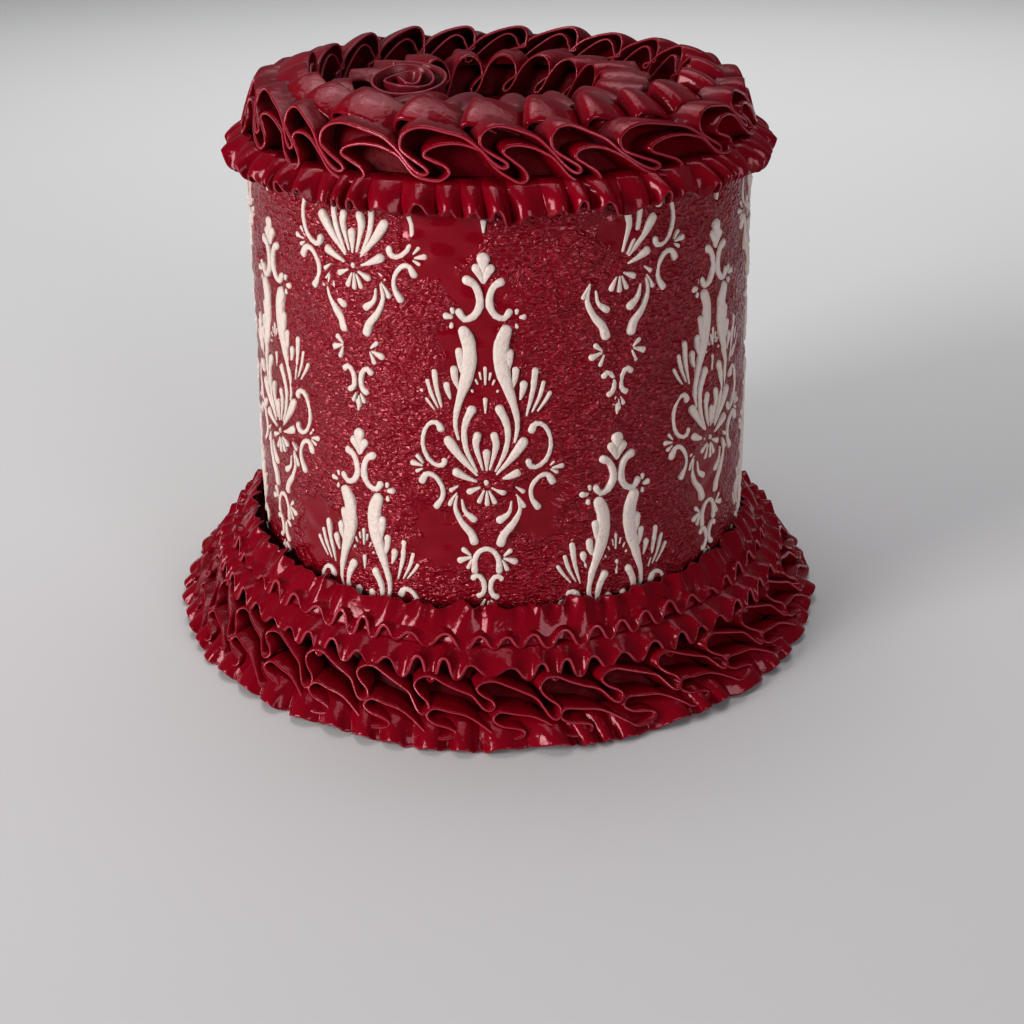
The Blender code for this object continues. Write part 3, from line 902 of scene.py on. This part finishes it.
@dataclass(kw_only=True)
class WavedRow(PipedRow):
    """A row of waves that repeat round the ring, from a root to an edge given as (radius, height).

    The waves wander and differ in strength: each is given as the slowest part of that unevenness,
    what the waves are divided by for its quickest part, and its spread."""

    waves: int
    root: Pair
    edge: Pair
    wander: tuple[int, int, float] = (3, 3, 0.8)
    contrast: tuple[int, int, float] = (5, 3, 0.35)
    strengths: Pair = (0.35, 1.5)

    def waves_at(self, along: Array, uneven: Unevenness) -> tuple[Array, Array]:
        """Finds how far each place is through the waves.

        Args:
            along: Shares round the ring.
            uneven: The row's unevenness.

        Returns:
            The phase in radians, and how strong the wave is there.
        """
        slowest, part, spread = self.wander
        phase = TURN * self.waves * along + uneven.drift(along, slowest, self.waves // part, spread)
        slowest, part, spread = self.contrast
        strength = 1.0 + uneven.drift(along, slowest, self.waves // part, spread)
        return phase, np.clip(strength, *self.strengths)

    def line(self, reach: Array) -> tuple[Array, Array]:
        """The radius and the height on the straight way from the root to the edge."""
        return between(self.root[0], self.edge[0], reach), between(self.root[1], self.edge[1], reach)


@dataclass(kw_only=True)
class SlopingRow(WavedRow):
    """A row that slopes outwards and whose free edge waves up and down."""

    rise: float
    draw_in: float = 0.0006
    bow: float = 0.0006
    lean: float = 0.14
    sway: float = 0.0005

    def middle(self, along: Array, reach: Array) -> Array:
        """The waving surface.

        Args:
            along: Shares round the ring.
            reach: Shares from the root to the edge.

        Returns:
            The surface's points.
        """
        uneven = Unevenness(self.seed)
        phase, strength = self.waves_at(along, uneven)
        sway = uneven.drift(along, 2, 14, self.sway)
        grow = reach ** 1.6
        wave = strength * np.sin(phase) * grow
        radius, height = self.line(reach)
        radius = radius - self.draw_in * wave + self.bow * np.sin(np.pi * reach)
        turn = TURN * along - self.lean * strength * grow * np.sin(2 * phase) / self.waves
        return on_cake(turn, radius, height + sway * reach + self.rise * wave)


@dataclass(kw_only=True)
class NeckRow(WavedRow):
    """The innermost row at the foot: an upright band that leans on the wall in soft folds."""

    wander: tuple[int, int, float] = (3, 2, 1.3)
    contrast: tuple[int, int, float] = (4, 2, 0.45)
    strengths: Pair = (0.1, 1.9)
    depth: float = 0.0009
    teeth: float = 0.0009
    bow: float = 0.0010
    slant: float = 2.2
    sway: float = 0.0007

    def middle(self, along: Array, reach: Array) -> Array:
        """The softly folded surface.

        Args:
            along: Shares round the ring.
            reach: Shares from the root to the edge.

        Returns:
            The surface's points.
        """
        uneven = Unevenness(self.seed)
        phase, strength = self.waves_at(along, uneven)
        phase = phase + self.slant * (1 - reach)
        wave = np.sin(phase) + 0.3 * np.sin(2 * phase + 0.8)
        zigzag = np.sin(2 * TURN * self.waves * along + uneven.drift(along, 5, self.waves, 1.6))
        radius, height = self.line(reach)
        radius = radius + self.bow * 4 * reach * (1 - reach)
        radius = radius + self.teeth * strength * zigzag * reach ** 4
        radius = radius + self.depth * strength * wave * (0.35 + 0.65 * reach) * (1.0 - 0.35 * reach)
        sway = uneven.drift(along, 2, 20, self.sway) + self.sway * strength * np.cos(phase)
        return on_cake(TURN * along, radius, height + reach * sway)


@dataclass(kw_only=True)
class PleatRow(WavedRow):
    """A row of close pleats that bulge outwards and meet in sharp creases."""

    wander: tuple[int, int, float] = (4, 3, 1.8)
    contrast: tuple[int, int, float] = (5, 2, 0.5)
    strengths: Pair = (0.35, 1.7)
    depth: float
    drop: float
    loop: float
    lean: float = 0.9
    puff: float = 0.0012
    flat: float = 0.35
    arch: float = 0.0
    sway: float = 0.0008
    lowest: float = 0.0006

    def middle(self, along: Array, reach: Array) -> Array:
        """The pleated surface.

        Args:
            along: Shares round the ring.
            reach: Shares from the root to the edge.

        Returns:
            The surface's points.
        """
        uneven = Unevenness(self.seed)
        phase, strength = self.waves_at(along, uneven)
        grow = between(self.flat, 1.0, reach ** 0.8)
        radius, height = self.line(reach)
        radius = radius + self.puff * np.sin(np.pi * reach)
        radius = radius + self.depth * strength * (np.abs(np.cos(phase / 2)) ** 0.8 - 0.5) * grow
        sway = uneven.drift(along, 3, self.waves // 2, self.sway)
        height = height + reach * (sway + self.drop * np.cos(phase))
        arch = self.arch * np.clip(strength - 0.45, 0, 1.2)
        height = height + arch * reach ** 1.5 * np.cos(phase / 2) ** 6
        turn = TURN * along + self.loop * strength * grow * np.sin(2 * phase) / self.waves
        turn = turn + reach * (self.lean + uneven.drift(along, 3, self.waves // 3, 0.7)) / self.waves
        return on_cake(turn, radius, np.maximum(height, self.lowest))


@dataclass(kw_only=True)
class FoldedRow(PipedRow):
    """A broad ribbon laid in leaning S-shaped folds.

    One fold's free edge is given as it is seen from outside, in millimetres along the row and
    upwards, and the folds start at given turns in degrees. The edge lies on a cone, which goes out
    and up by a given share for each millimetre that the fold rises. The ribbon runs back from it in
    straight lines, inwards or, where its way is -1, outwards. Its slant and its length are given for
    the highest and for the lowest point of a fold, its slant and its skew in degrees."""

    outline: tuple
    starts: tuple[float, ...]
    pitch: float = 20.5
    lifts: tuple[float, ...] = ()
    radius: float = 0.0735
    height: float = 0.1638
    cone: Pair = (-0.306, 0.828)
    way: float = 1.0
    slant: Pair = (0.0, 12.0)
    skew: float = 18.0
    length: Pair = (0.0090, 0.0085)
    uneven_height: float = 0.10
    uneven_lift: float = 0.5
    ragged: float = 0.0
    ragged_height: float = 0.0009
    droop: float = 0.0
    bow: float = 0.06
    bay: float = 0.0
    bay_cut: float = 0.6
    fine_steps: int = 16
    surface_seed: int = 500

    def edge_line(self, along: Array) -> tuple[Array, Array]:
        """The free edge at equal steps round the ring.

        Args:
            along: Shares round the ring.

        Returns:
            The turn in radians, and the rise in millimetres.
        """
        folds = len(self.starts)
        uneven = Unevenness(self.seed)
        scale = 1.0 + uneven.each(folds, self.uneven_height)
        lift = uneven.each(folds, self.uneven_lift)
        lift[:len(self.lifts)] = self.lifts
        points = []
        for k in range(folds):
            after = (k + 1) % folds
            for across, up in self.outline:
                share = eased(min(max(across / self.pitch, 0.0), 1.0))
                high = up * (scale[k] * (1 - share) + scale[after] * share)
                high = high + lift[k] * (1 - share) + lift[after] * share
                points.append((k * self.pitch + across, high))
        known = np.array(points)
        whole = np.array((folds * self.pitch, 0))
        padded = np.vstack([known[-1] - whole, known, known[0] + whole, known[1] + whole])
        line = [curve_point(padded[k:k + 4], step / self.fine_steps)
                for k in range(len(known)) for step in range(self.fine_steps)]
        line = np.array(line + [known[0] + whole])
        run = np.concatenate([[0], np.cumsum(np.linalg.norm(np.diff(line, axis=0), axis=1))])
        pitches = np.interp(along * run[-1], run, line[:, 0]) / self.pitch
        turns = np.radians(self.starts)
        turns = np.concatenate([turns[-3:] - TURN, turns, turns[:4] + TURN])
        turn = np.interp(pitches, np.arange(-3, folds + 4), turns)
        return turn, np.interp(along * run[-1], run, line[:, 1])

    def middle(self, along: Array, reach: Array) -> Array:
        """The folded surface, ruled back from the free edge.

        Args:
            along: Shares round the ring.
            reach: Shares from the root to the edge.

        Returns:
            The surface's points.
        """
        folds = len(self.starts)
        uneven = Unevenness(self.seed + self.surface_seed)
        turn, up = self.edge_line(along)
        highs = [high for _, high in self.outline]
        low = np.clip((max(highs) - up) / (max(highs) - min(highs)), 0.0, 1.0)
        edge_radius = self.radius + self.cone[0] * up * MM + uneven.drift(along, 2, folds, 0.0003)
        edge_height = self.height + self.cone[1] * up * MM
        slant = np.radians(between(*self.slant, low) + uneven.drift(along, 3, 2 * folds, 2.0))
        skew = math.radians(self.skew)
        length = between(*self.length, low) * (1.0 + uneven.drift(along, 2, folds, 0.04))
        if self.bay:
            given = bay_share(turn)
            edge_radius = between(edge_radius, self.bay, given)
            length = length * (1.0 - self.bay_cut * given)
        if self.ragged:
            teeth = uneven.drift(along, folds * 3, folds * 14, 1.0)
            length = length + self.ragged * teeth * (1.0 - reach) ** 6
        back = (1.0 - reach) * length
        out = self.way * np.cos(slant) * math.cos(skew)
        aside = np.cos(slant) * math.sin(skew)
        radial = on_cake(turn, 1.0, 0.0)
        tangent = np.stack([np.cos(turn), np.sin(turn), np.zeros_like(turn)], axis=-1)
        places = on_cake(turn, edge_radius, edge_height)
        places = places - back[:, None] * (out[:, None] * radial + aside[:, None] * tangent)
        bow = 4 * reach * (1 - reach) * self.bow * length
        places[:, 2] += -back * np.sin(slant) + bow - self.droop * (1.0 - reach) ** 2.5
        if self.ragged:
            torn = uneven.drift(along, folds * 4, folds * 16, 1.0)
            places[:, 2] += self.ragged_height * (1 - reach) ** 5 * torn
        return places


@dataclass
class Mound:
    """A thick ring of icing that the rows are piped on, turned from its profile of (radius, height).
    Its shoulder is given as where it starts, how wide it is and the height that it lies above."""

    name: str
    seed: int
    profile: tuple[Pair, ...]
    around: int = 360
    sway: float = 0.0004
    bay: float = 0.0
    bay_reach: float = 0.004
    bay_strength: float = 0.8
    rear_lift: float = 0.0
    shoulder: Triple = (0.0600, 0.0050, 0.1640)

    def build(self) -> Piece:
        """Shapes the ring from a sheet whose last row meets its first.

        Returns:
            The ring.
        """
        corners = np.array(self.profile + self.profile[:1])
        sides = len(corners) - 1
        mound, along, across = add_sheet(self.name, self.around, 4 * sides)
        knots = np.arange(len(corners))
        radius, height = (np.interp(across * sides, knots, line) for line in corners.T)
        turn = TURN * along
        if self.bay:
            inner = radius < self.bay + self.bay_reach
            radius = radius + self.bay_strength * (self.bay - radius) * bay_share(turn) * inner
        start, width, above = self.shoulder
        shoulder = np.clip((radius - start) / width, 0.0, 1.0) * (height > above)
        height = height + self.rear_lift * shoulder * np.clip(0.35 - np.cos(turn), 0.0, 1.0)
        sway = Unevenness(self.seed).drift(along, 9, 60, self.sway)
        radius = radius + sway * np.sin(np.pi * across)
        set_places(mound, on_cake(turn, radius, height))
        weld(mound, outward=True)
        smooth(mound, 60.0)
        return mound


@dataclass
class Rosette:
    """The curl in which the inner row ends: a ribbon on edge, wound in a flaring spiral."""

    centre: Pair = (-0.0262, -0.0148)
    inner: float = 0.0010
    outer: float = 0.0106
    turns: float = 2.9
    start: float = 2.6
    floor: float = 0.1548
    top: float = 0.1698
    rise: float = 0.0028
    flare: float = 0.0016
    sway: Pair = (0.0004, 0.0005)
    thickness: float = 0.0014
    steps: int = 190
    across: int = 12

    def build(self) -> Piece:
        """Winds the ribbon.

        Returns:
            The curl.
        """
        ribbon, along, across = add_sheet("curled_rosette", self.steps, self.across)
        reach = 1.0 - (1.0 - across) ** 1.8
        turn = TURN * self.turns * along
        high = self.top + self.rise * along * np.sin(turn + self.start)
        high = high + self.sway[1] * np.sin(5.0 * turn / self.turns)
        radius = between(self.inner, self.outer, along ** 0.9)
        radius = radius + self.flare * (0.3 + along) * reach ** 2
        radius = radius + self.sway[0] * np.sin(3 * turn) * reach
        angle = turn + self.start
        set_places(ribbon, np.stack([
            self.centre[0] + radius * np.cos(angle), self.centre[1] + radius * np.sin(angle),
            between(self.floor, high, reach)], axis=1))
        row = np.rint((1.0 - across) * self.across)
        add_share(ribbon, "body", taper(row, 0.3, 0.6, 0.6 + 0.4 * (1.0 - reach)))
        # This share also places the painted highlight along the curl's top edge.
        add_share(ribbon, "edge", reach)
        add_share(ribbon, "matt", 0.15 + 0.35 * reach * along)
        thicken(ribbon, self.thickness, "body")
        smooth(ribbon)
        return ribbon


def even_starts(first: float, folds: int) -> tuple[float, ...]:
    """Turns in degrees at even steps round the ring."""
    return tuple(first + 360.0 * k / folds for k in range(folds))


def uneven_starts(front: tuple[float, ...], rear: int) -> tuple[float, ...]:
    """Turns in degrees that are given along the front, with some at even steps round the rest."""
    gap = (360.0 + front[0] - front[-1]) / (rear + 1)
    return front + tuple(front[-1] + gap * (k + 1) for k in range(rear))


ROSETTE_TURN = math.atan2(-0.0262, 0.0145)
BAY_HALF_WIDTH = math.radians(33.0)
BAY_EASING = math.radians(20.0)


def bay_share(turn: Array) -> Array:
    """How far the rows give way to the rosette at a turn, from 0 to 1."""
    off = np.abs((turn - ROSETTE_TURN + math.pi) % TURN - math.pi)
    return eased(np.clip((BAY_HALF_WIDTH - off) / BAY_EASING, 0.0, 1.0))


RIM_STARTS = uneven_starts((-69.4, -52.2, -39.8, -20.1, -3.4, 11.1, 25.7, 47.9), 15)
MIDDLE_STARTS = uneven_starts((-66.0, -53.0, -41.0, -22.7, -7.0, 7.7, 22.2, 35.5, 48.0), 13)
UPPER_RIM_FOLD = (
    (0.0, 0.0), (0.4, 2.2), (2.6, 4.2), (6.2, 4.8), (11.5, 3.4), (16.4, 1.5), (20.2, -1.9),
    (23.9, -6.0), (26.6, -8.0), (28.3, -7.6), (27.6, -6.2), (24.0, -3.9), (21.2, -1.9),
)
LOWER_RIM_FOLD = (
    (0.4, -3.6), (4.4, -8.2), (8.0, -10.2), (11.2, -10.9), (13.2, -9.2), (12.2, -7.0), (9.2, -5.0),
    (6.7, -3.2), (7.6, -1.4), (11.0, -0.4), (15.0, -0.7), (18.2, -1.9),
)
UPPER_SKIRT_FOLD = (
    (0.0, 0.0), (0.2, 1.8), (2.1, 3.3), (5.1, 3.5), (9.0, 1.7), (13.0, -0.1), (16.9, -2.0),
    (18.9, -4.8), (20.5, -7.2), (22.2, -8.0), (23.6, -6.6), (22.9, -4.2), (20.2, -2.1),
)
LOWER_SKIRT_FOLD = (
    (4.8, -9.2), (5.3, -7.4), (7.0, -6.4), (11.2, -7.1), (15.4, -7.9), (18.8, -9.8), (22.4, -12.8),
    (24.8, -15.0), (27.6, -15.5), (31.0, -14.6), (31.6, -12.9), (29.4, -11.9), (25.6, -11.0),
)
MIDDLE_FOLD = (
    (0.0, -1.6), (-0.4, 1.6), (0.6, 3.9), (3.2, 4.6), (8.0, 3.8), (13.0, 2.4), (18.0, 0.4),
    (22.4, -2.8), (25.4, -5.4), (27.2, -5.4), (26.6, -4.2), (23.6, -3.4), (20.8, -2.8),
)
NESTED_MIDDLE_FOLD = (
    (3.4, -1.4), (4.2, 0.4), (6.6, 1.6), (10.0, 0.8), (14.4, -1.6), (18.6, -4.4), (21.8, -6.8),
    (23.6, -7.2), (24.2, -6.0), (23.4, -4.4), (23.2, -2.6),
)
INNER_FOLD = (
    (0.0, 0.0), (0.6, 3.0), (2.6, 5.0), (5.6, 5.4), (8.6, 3.8), (11.2, 0.6), (13.4, -3.4),
    (15.4, -5.8), (17.2, -6.0), (16.8, -4.2), (14.8, -2.4), (13.0, -1.2),
)
# What the two bands of the skirt share, and then the two of the middle row.
SKIRT_ROW = dict(
    pitch=18.5, starts=even_starts(-3.6, 33), radius=0.0969, height=0.0150, cone=(-0.55, 0.72),
    skew=16.0, shift=(-0.0012, -0.0015), squeeze=0.008,
)
MIDDLE_ROW = dict(
    torn=True, starts=MIDDLE_STARTS, radius=0.0555, height=0.1685, cone=(0.15, 0.95), way=-1.0,
    slant=(20.0, 24.0), skew=8.0, droop=0.0008,
)


@dataclass
class FootBorder:
    """The rows piped round the foot, from the wall outwards."""

    mound: Mound = field(default_factory=lambda: Mound("neck_mound", 30, (
        (0.0797, 0.0004), (0.0965, 0.0004), (0.0968, 0.0040), (0.0920, 0.0110), (0.0868, 0.0180),
        (0.0835, 0.0240), (0.0797, 0.0255), (0.0797, 0.0120))))
    rows: list[tuple[PipedRow, str]] = field(default_factory=lambda: [
        (NeckRow("neck_band", 31, 864, 12, 0.0022, 0.0009, waves=46, root=(0.0868, 0.0225),
                 edge=(0.0808, 0.0325), shift=(-0.0012, 0.0)), "neck_ruffle"),
        (SlopingRow("upper_wave_band", 32, 1116, 12, 0.0020, 0.0010, waves=64, root=(0.0815, 0.0275),
                    edge=(0.0886, 0.0252), rise=0.0023, shift=(-0.0014, 0.0)), "upper_wave_ruffle"),
        (SlopingRow("lower_wave_band", 33, 1116, 12, 0.0020, 0.0010, waves=66, root=(0.0860, 0.0232),
                    edge=(0.0938, 0.0186), rise=0.0025, shift=(-0.0010, -0.0005)), "lower_wave_ruffle"),
        (FoldedRow("skirt_upper_band", 34, 2100, 10, 0.0014, 0.0008, outline=UPPER_SKIRT_FOLD,
                   slant=(8.0, 2.0), length=(0.0120, 0.0080), uneven_height=0.22, uneven_lift=0.9,
                   **SKIRT_ROW), "skirt_ruffle"),
        (FoldedRow("skirt_lower_band", 35, 2100, 10, 0.0014, 0.0008, outline=LOWER_SKIRT_FOLD,
                   slant=(6.0, 2.0), length=(0.0110, 0.0080), uneven_height=0.05, uneven_lift=0.4,
                   **SKIRT_ROW), "skirt_ruffle"),
        (PleatRow("foot_band", 36, 2052, 10, 0.0014, 0.0008, waves=62, root=(0.0965, 0.0080),
                  edge=(0.1056, 0.0016), depth=0.0030, drop=0.0011, loop=0.22, shift=(-0.0016, -0.0022),
                  squeeze=0.008), "foot_ruffle"),
    ])

    def build(self) -> list[tuple[Piece, str]]:
        """Pipes the mound and its rows, each with the node that it stands for."""
        return [(self.mound.build(), "neck_ruffle")] + [(row.build(), node) for row, node in self.rows]


@dataclass
class Crown:
    """The rows on the top edge: the collar, the folded rim, the two rows inside it and the rosette."""

    mound: Mound = field(default_factory=lambda: Mound("crown_mound", 40, (
        (0.0700, 0.1552), (0.0680, 0.1600), (0.0664, 0.1640), (0.0645, 0.1656), (0.0600, 0.1636),
        (0.0520, 0.1590), (0.0430, 0.1610), (0.0390, 0.1635), (0.0350, 0.1625), (0.0322, 0.1560),
        (0.0322, 0.1552)), bay=0.0440, rear_lift=0.0034))
    rosette: Rosette = field(default_factory=Rosette)
    rows: list[tuple[PipedRow, str]] = field(default_factory=lambda: [
        (PleatRow("collar_band", 41, 2068, 10, 0.0014, 0.0008, waves=68, root=(0.0742, 0.1552),
                  edge=(0.0800, 0.1470), depth=0.0042, drop=0.0004, puff=0.0016, loop=0.26, flat=0.12,
                  arch=0.0036), "collar_ruffle"),
        (FoldedRow("rim_upper_band", 42, 2016, 14, 0.0015, 0.0010, torn=True, matt=(0.5, 0.0),
                   outline=UPPER_RIM_FOLD, starts=RIM_STARTS, uneven_lift=1.2, ragged=0.0004,
                   lifts=(2.4, 1.3, -1.6, -0.4, 1.1, 0.2, -1.7, -1.5)), "rim_ruffle"),
        (FoldedRow("rim_lower_band", 42, 2016, 12, 0.0015, 0.0010, torn=True, outline=LOWER_RIM_FOLD,
                   starts=RIM_STARTS, uneven_lift=1.0, slant=(4.0, 14.0), length=(0.0100, 0.0085),
                   lifts=(2.0, 0.2, -1.9, -0.6, 1.5, -0.4, -1.6, -1.2)), "rim_ruffle"),
        (FoldedRow("middle_band", 43, 1900, 14, 0.0014, 0.0009, matt=(0.0, 0.12), outline=MIDDLE_FOLD,
                   length=(0.0112, 0.0095), uneven_height=0.15, uneven_lift=0.7, **MIDDLE_ROW),
         "crown_ruffle"),
        (FoldedRow("nested_middle_band", 44, 1500, 10, 0.0013, 0.0008, matt=(0.0, 0.3),
                   outline=NESTED_MIDDLE_FOLD, length=(0.0100, 0.0080), uneven_height=0.05,
                   uneven_lift=0.4, **MIDDLE_ROW), "crown_ruffle"),
        (FoldedRow("inner_band", 45, 1300, 12, 0.0014, 0.0009, torn=True, matt=(0.55, 0.0),
                   outline=INNER_FOLD, pitch=12.5, starts=even_starts(0.0, 17), radius=0.0290,
                   height=0.1628, cone=(0.30, 0.9), way=-1.0, slant=(6.0, 16.0), skew=10.0,
                   length=(0.0150, 0.0110), uneven_height=0.15, uneven_lift=0.6, ragged=0.0008,
                   bay=0.0440), "crown_ruffle"),
    ])

    def build(self) -> list[tuple[Piece, str]]:
        """Pipes the mound and its rows and winds the rosette, each with the node that it stands for."""
        made = [(self.mound.build(), "crown_ruffle")] + [(row.build(), node) for row, node in self.rows]
        return made + [(self.rosette.build(), "crown_rosette")]


@dataclass(frozen=True)
class SoftLight:
    """A broad light, with its power in watts and the angle in degrees that it fills."""

    name: str
    place: Triple
    size: Pair
    power: float
    colour: Triple = (1.0, 1.0, 1.0)
    aim: Triple = (0.0, 0.0, 0.09)
    spread: float = 180.0

    def hang(self) -> None:
        """Adds the light to the scene, turned to its aim."""
        data = bpy.data.lights.new(self.name, "AREA")
        data.shape = "RECTANGLE"
        data.size, data.size_y = self.size
        data.spread = math.radians(self.spread)
        data.energy = self.power
        data.color = self.colour
        lamp = bpy.data.objects.new(self.name, data)
        bpy.context.scene.collection.objects.link(lamp)
        lamp.location = self.place
        ahead = Vector(self.aim) - Vector(self.place)
        lamp.rotation_euler = ahead.to_track_quat("-Z", "Y").to_euler()


@dataclass
class Studio:
    """The camera at the photograph's angle, the pale floor and the soft light."""

    lens: float = 54.2
    sensor: float = 36.0
    nearest: float = 0.01
    look_at: Triple = (0.0030, 0.0, 0.0226)
    distance: float = 0.5218
    pitch: float = math.radians(26.7)
    roll: float = math.radians(-0.44)
    floor_size: float = 6.0
    floor_roughness: float = 0.7
    # The floor's colour near the cake and far behind it; the lighter far colour is painted light.
    floor_near: Triple = (0.52, 0.505, 0.515)
    floor_far_painted_light: Triple = (0.72, 0.715, 0.715)
    air: Triple = (0.80, 0.84, 0.86)
    air_strength: float = 0.16
    lights: tuple[SoftLight, ...] = (
        SoftLight("window", (-0.98, -0.66, 0.40), (0.40, 0.80), 15.0, (1.0, 0.985, 0.96)),
        SoftLight("bounce", (0.60, -0.98, 0.36), (0.50, 0.60), 4.6, (0.97, 0.98, 1.0)),
        SoftLight("above", (-0.15, 0.10, 1.25), (0.60, 0.60), 2.6),
        SoftLight("backdrop_light", (0.15, 0.75, 1.30), (1.60, 1.00), 5.0, aim=(0.15, 0.80, 0.0),
                  spread=100.0),
    )

    def camera(self) -> None:
        """Sets up the camera."""
        data = bpy.data.cameras.new("studio_camera")
        data.lens = self.lens
        data.sensor_width = self.sensor
        data.clip_start = self.nearest
        camera = bpy.data.objects.new("studio_camera", data)
        bpy.context.scene.collection.objects.link(camera)
        back = Vector((0.0, -math.cos(self.pitch), math.sin(self.pitch)))
        right = Vector((1.0, 0.0, 0.0))
        up = right.cross(-back)
        across = math.cos(self.roll) * right + math.sin(self.roll) * up
        upright = -math.sin(self.roll) * right + math.cos(self.roll) * up
        place = Vector(self.look_at) + back * self.distance
        rows = [(across[k], upright[k], back[k], place[k]) for k in range(3)]
        camera.matrix_world = Matrix((*rows, (0.0, 0.0, 0.0, 1.0)))
        bpy.context.scene.camera = camera

    def floor(self) -> None:
        """Lays the pale floor. Its colour grows lighter towards the back: painted light that makes up
        for the lamps' fall-off on the far floor, which stands for the pale backdrop.
        """
        deselect_all()
        bpy.ops.mesh.primitive_plane_add(size=self.floor_size, location=(0.0, 0.0, 0.0))
        floor = bpy.context.object
        floor.name = "studio_floor"
        material = bpy.data.materials.new("pale_floor")
        material.use_nodes = True
        nodes = Nodes(material.node_tree)
        shader = material.node_tree.nodes["Principled BSDF"]
        shader.inputs["Roughness"].default_value = self.floor_roughness
        place = nodes.add("ShaderNodeTexCoord").outputs["Object"]
        cloud = nodes.add("ShaderNodeTexNoise", Vector=place, Scale=3.0, Detail=2.0)
        # Painted light: the colour grows lighter towards the back, making up for the lamps' fall-off.
        far = nodes.spread(nodes.add("ShaderNodeSeparateXYZ", Vector=place).outputs["Y"], -0.2, 1.2)
        share = nodes.sums("MULTIPLY_ADD", cloud.outputs["Fac"], 0.15, far)
        tint = nodes.mix(share, (*self.floor_near, 1.0), (*self.floor_far_painted_light, 1.0))
        nodes.feed(shader.inputs["Base Color"], tint)
        floor.data.materials.append(material)

    def build(self) -> None:
        """Sets up the whole studio."""
        self.camera()
        self.floor()
        for light in self.lights:
            light.hang()
        world = bpy.data.worlds.new("studio_air")
        world.use_nodes = True
        air = world.node_tree.nodes["Background"]
        air.inputs["Color"].default_value = (*self.air, 1.0)
        air.inputs["Strength"].default_value = self.air_strength
        bpy.context.scene.world = world
        bpy.context.scene.view_settings.view_transform = "Standard"
        bpy.context.scene.view_settings.look = "Medium High Contrast"


def hand_over(piece: Piece, material: bpy.types.Material, node: str) -> None:
    """Dresses a finished piece and gives it its place in the part.

    Args:
        piece: The piece.
        material: Its finish.
        node: The solid that it stands for.
    """
    piece.data.materials.clear()
    piece.data.materials.append(material)
    body = piece.data.attributes.get("body")
    if body is not None:
        piece.data.attributes.remove(body)
    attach(piece, "root")
    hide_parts(node)
    piece.data.calc_loop_triangles()
    LOG.info("%s for %s: %d triangles", piece.name, node, len(piece.data.loop_triangles))


def main() -> None:
    """Builds the cake piece by piece."""
    logging.basicConfig(level=logging.INFO, format="%(message)s")
    skin = skin_group()
    wine, piped, deep, cream = (
        finish.make(skin) for finish in (WALL_ICING, PIPED_ICING, PAINTED_SHADE_ICING, CREAM_ICING))
    wall = Wall()
    hand_over(wall.build(), wine, "cake_body")
    for piece in Damask(wall).build():
        hand_over(piece, cream, "cake_body")
    for piece, node in FootBorder().build() + Crown().build():
        # The mounds take the darker icing, painted shade for the hollows under the ruffles.
        hand_over(piece, deep if piece.name.endswith("mound") else piped, node)
    Studio().build()


if __name__ == "__main__":
    main()
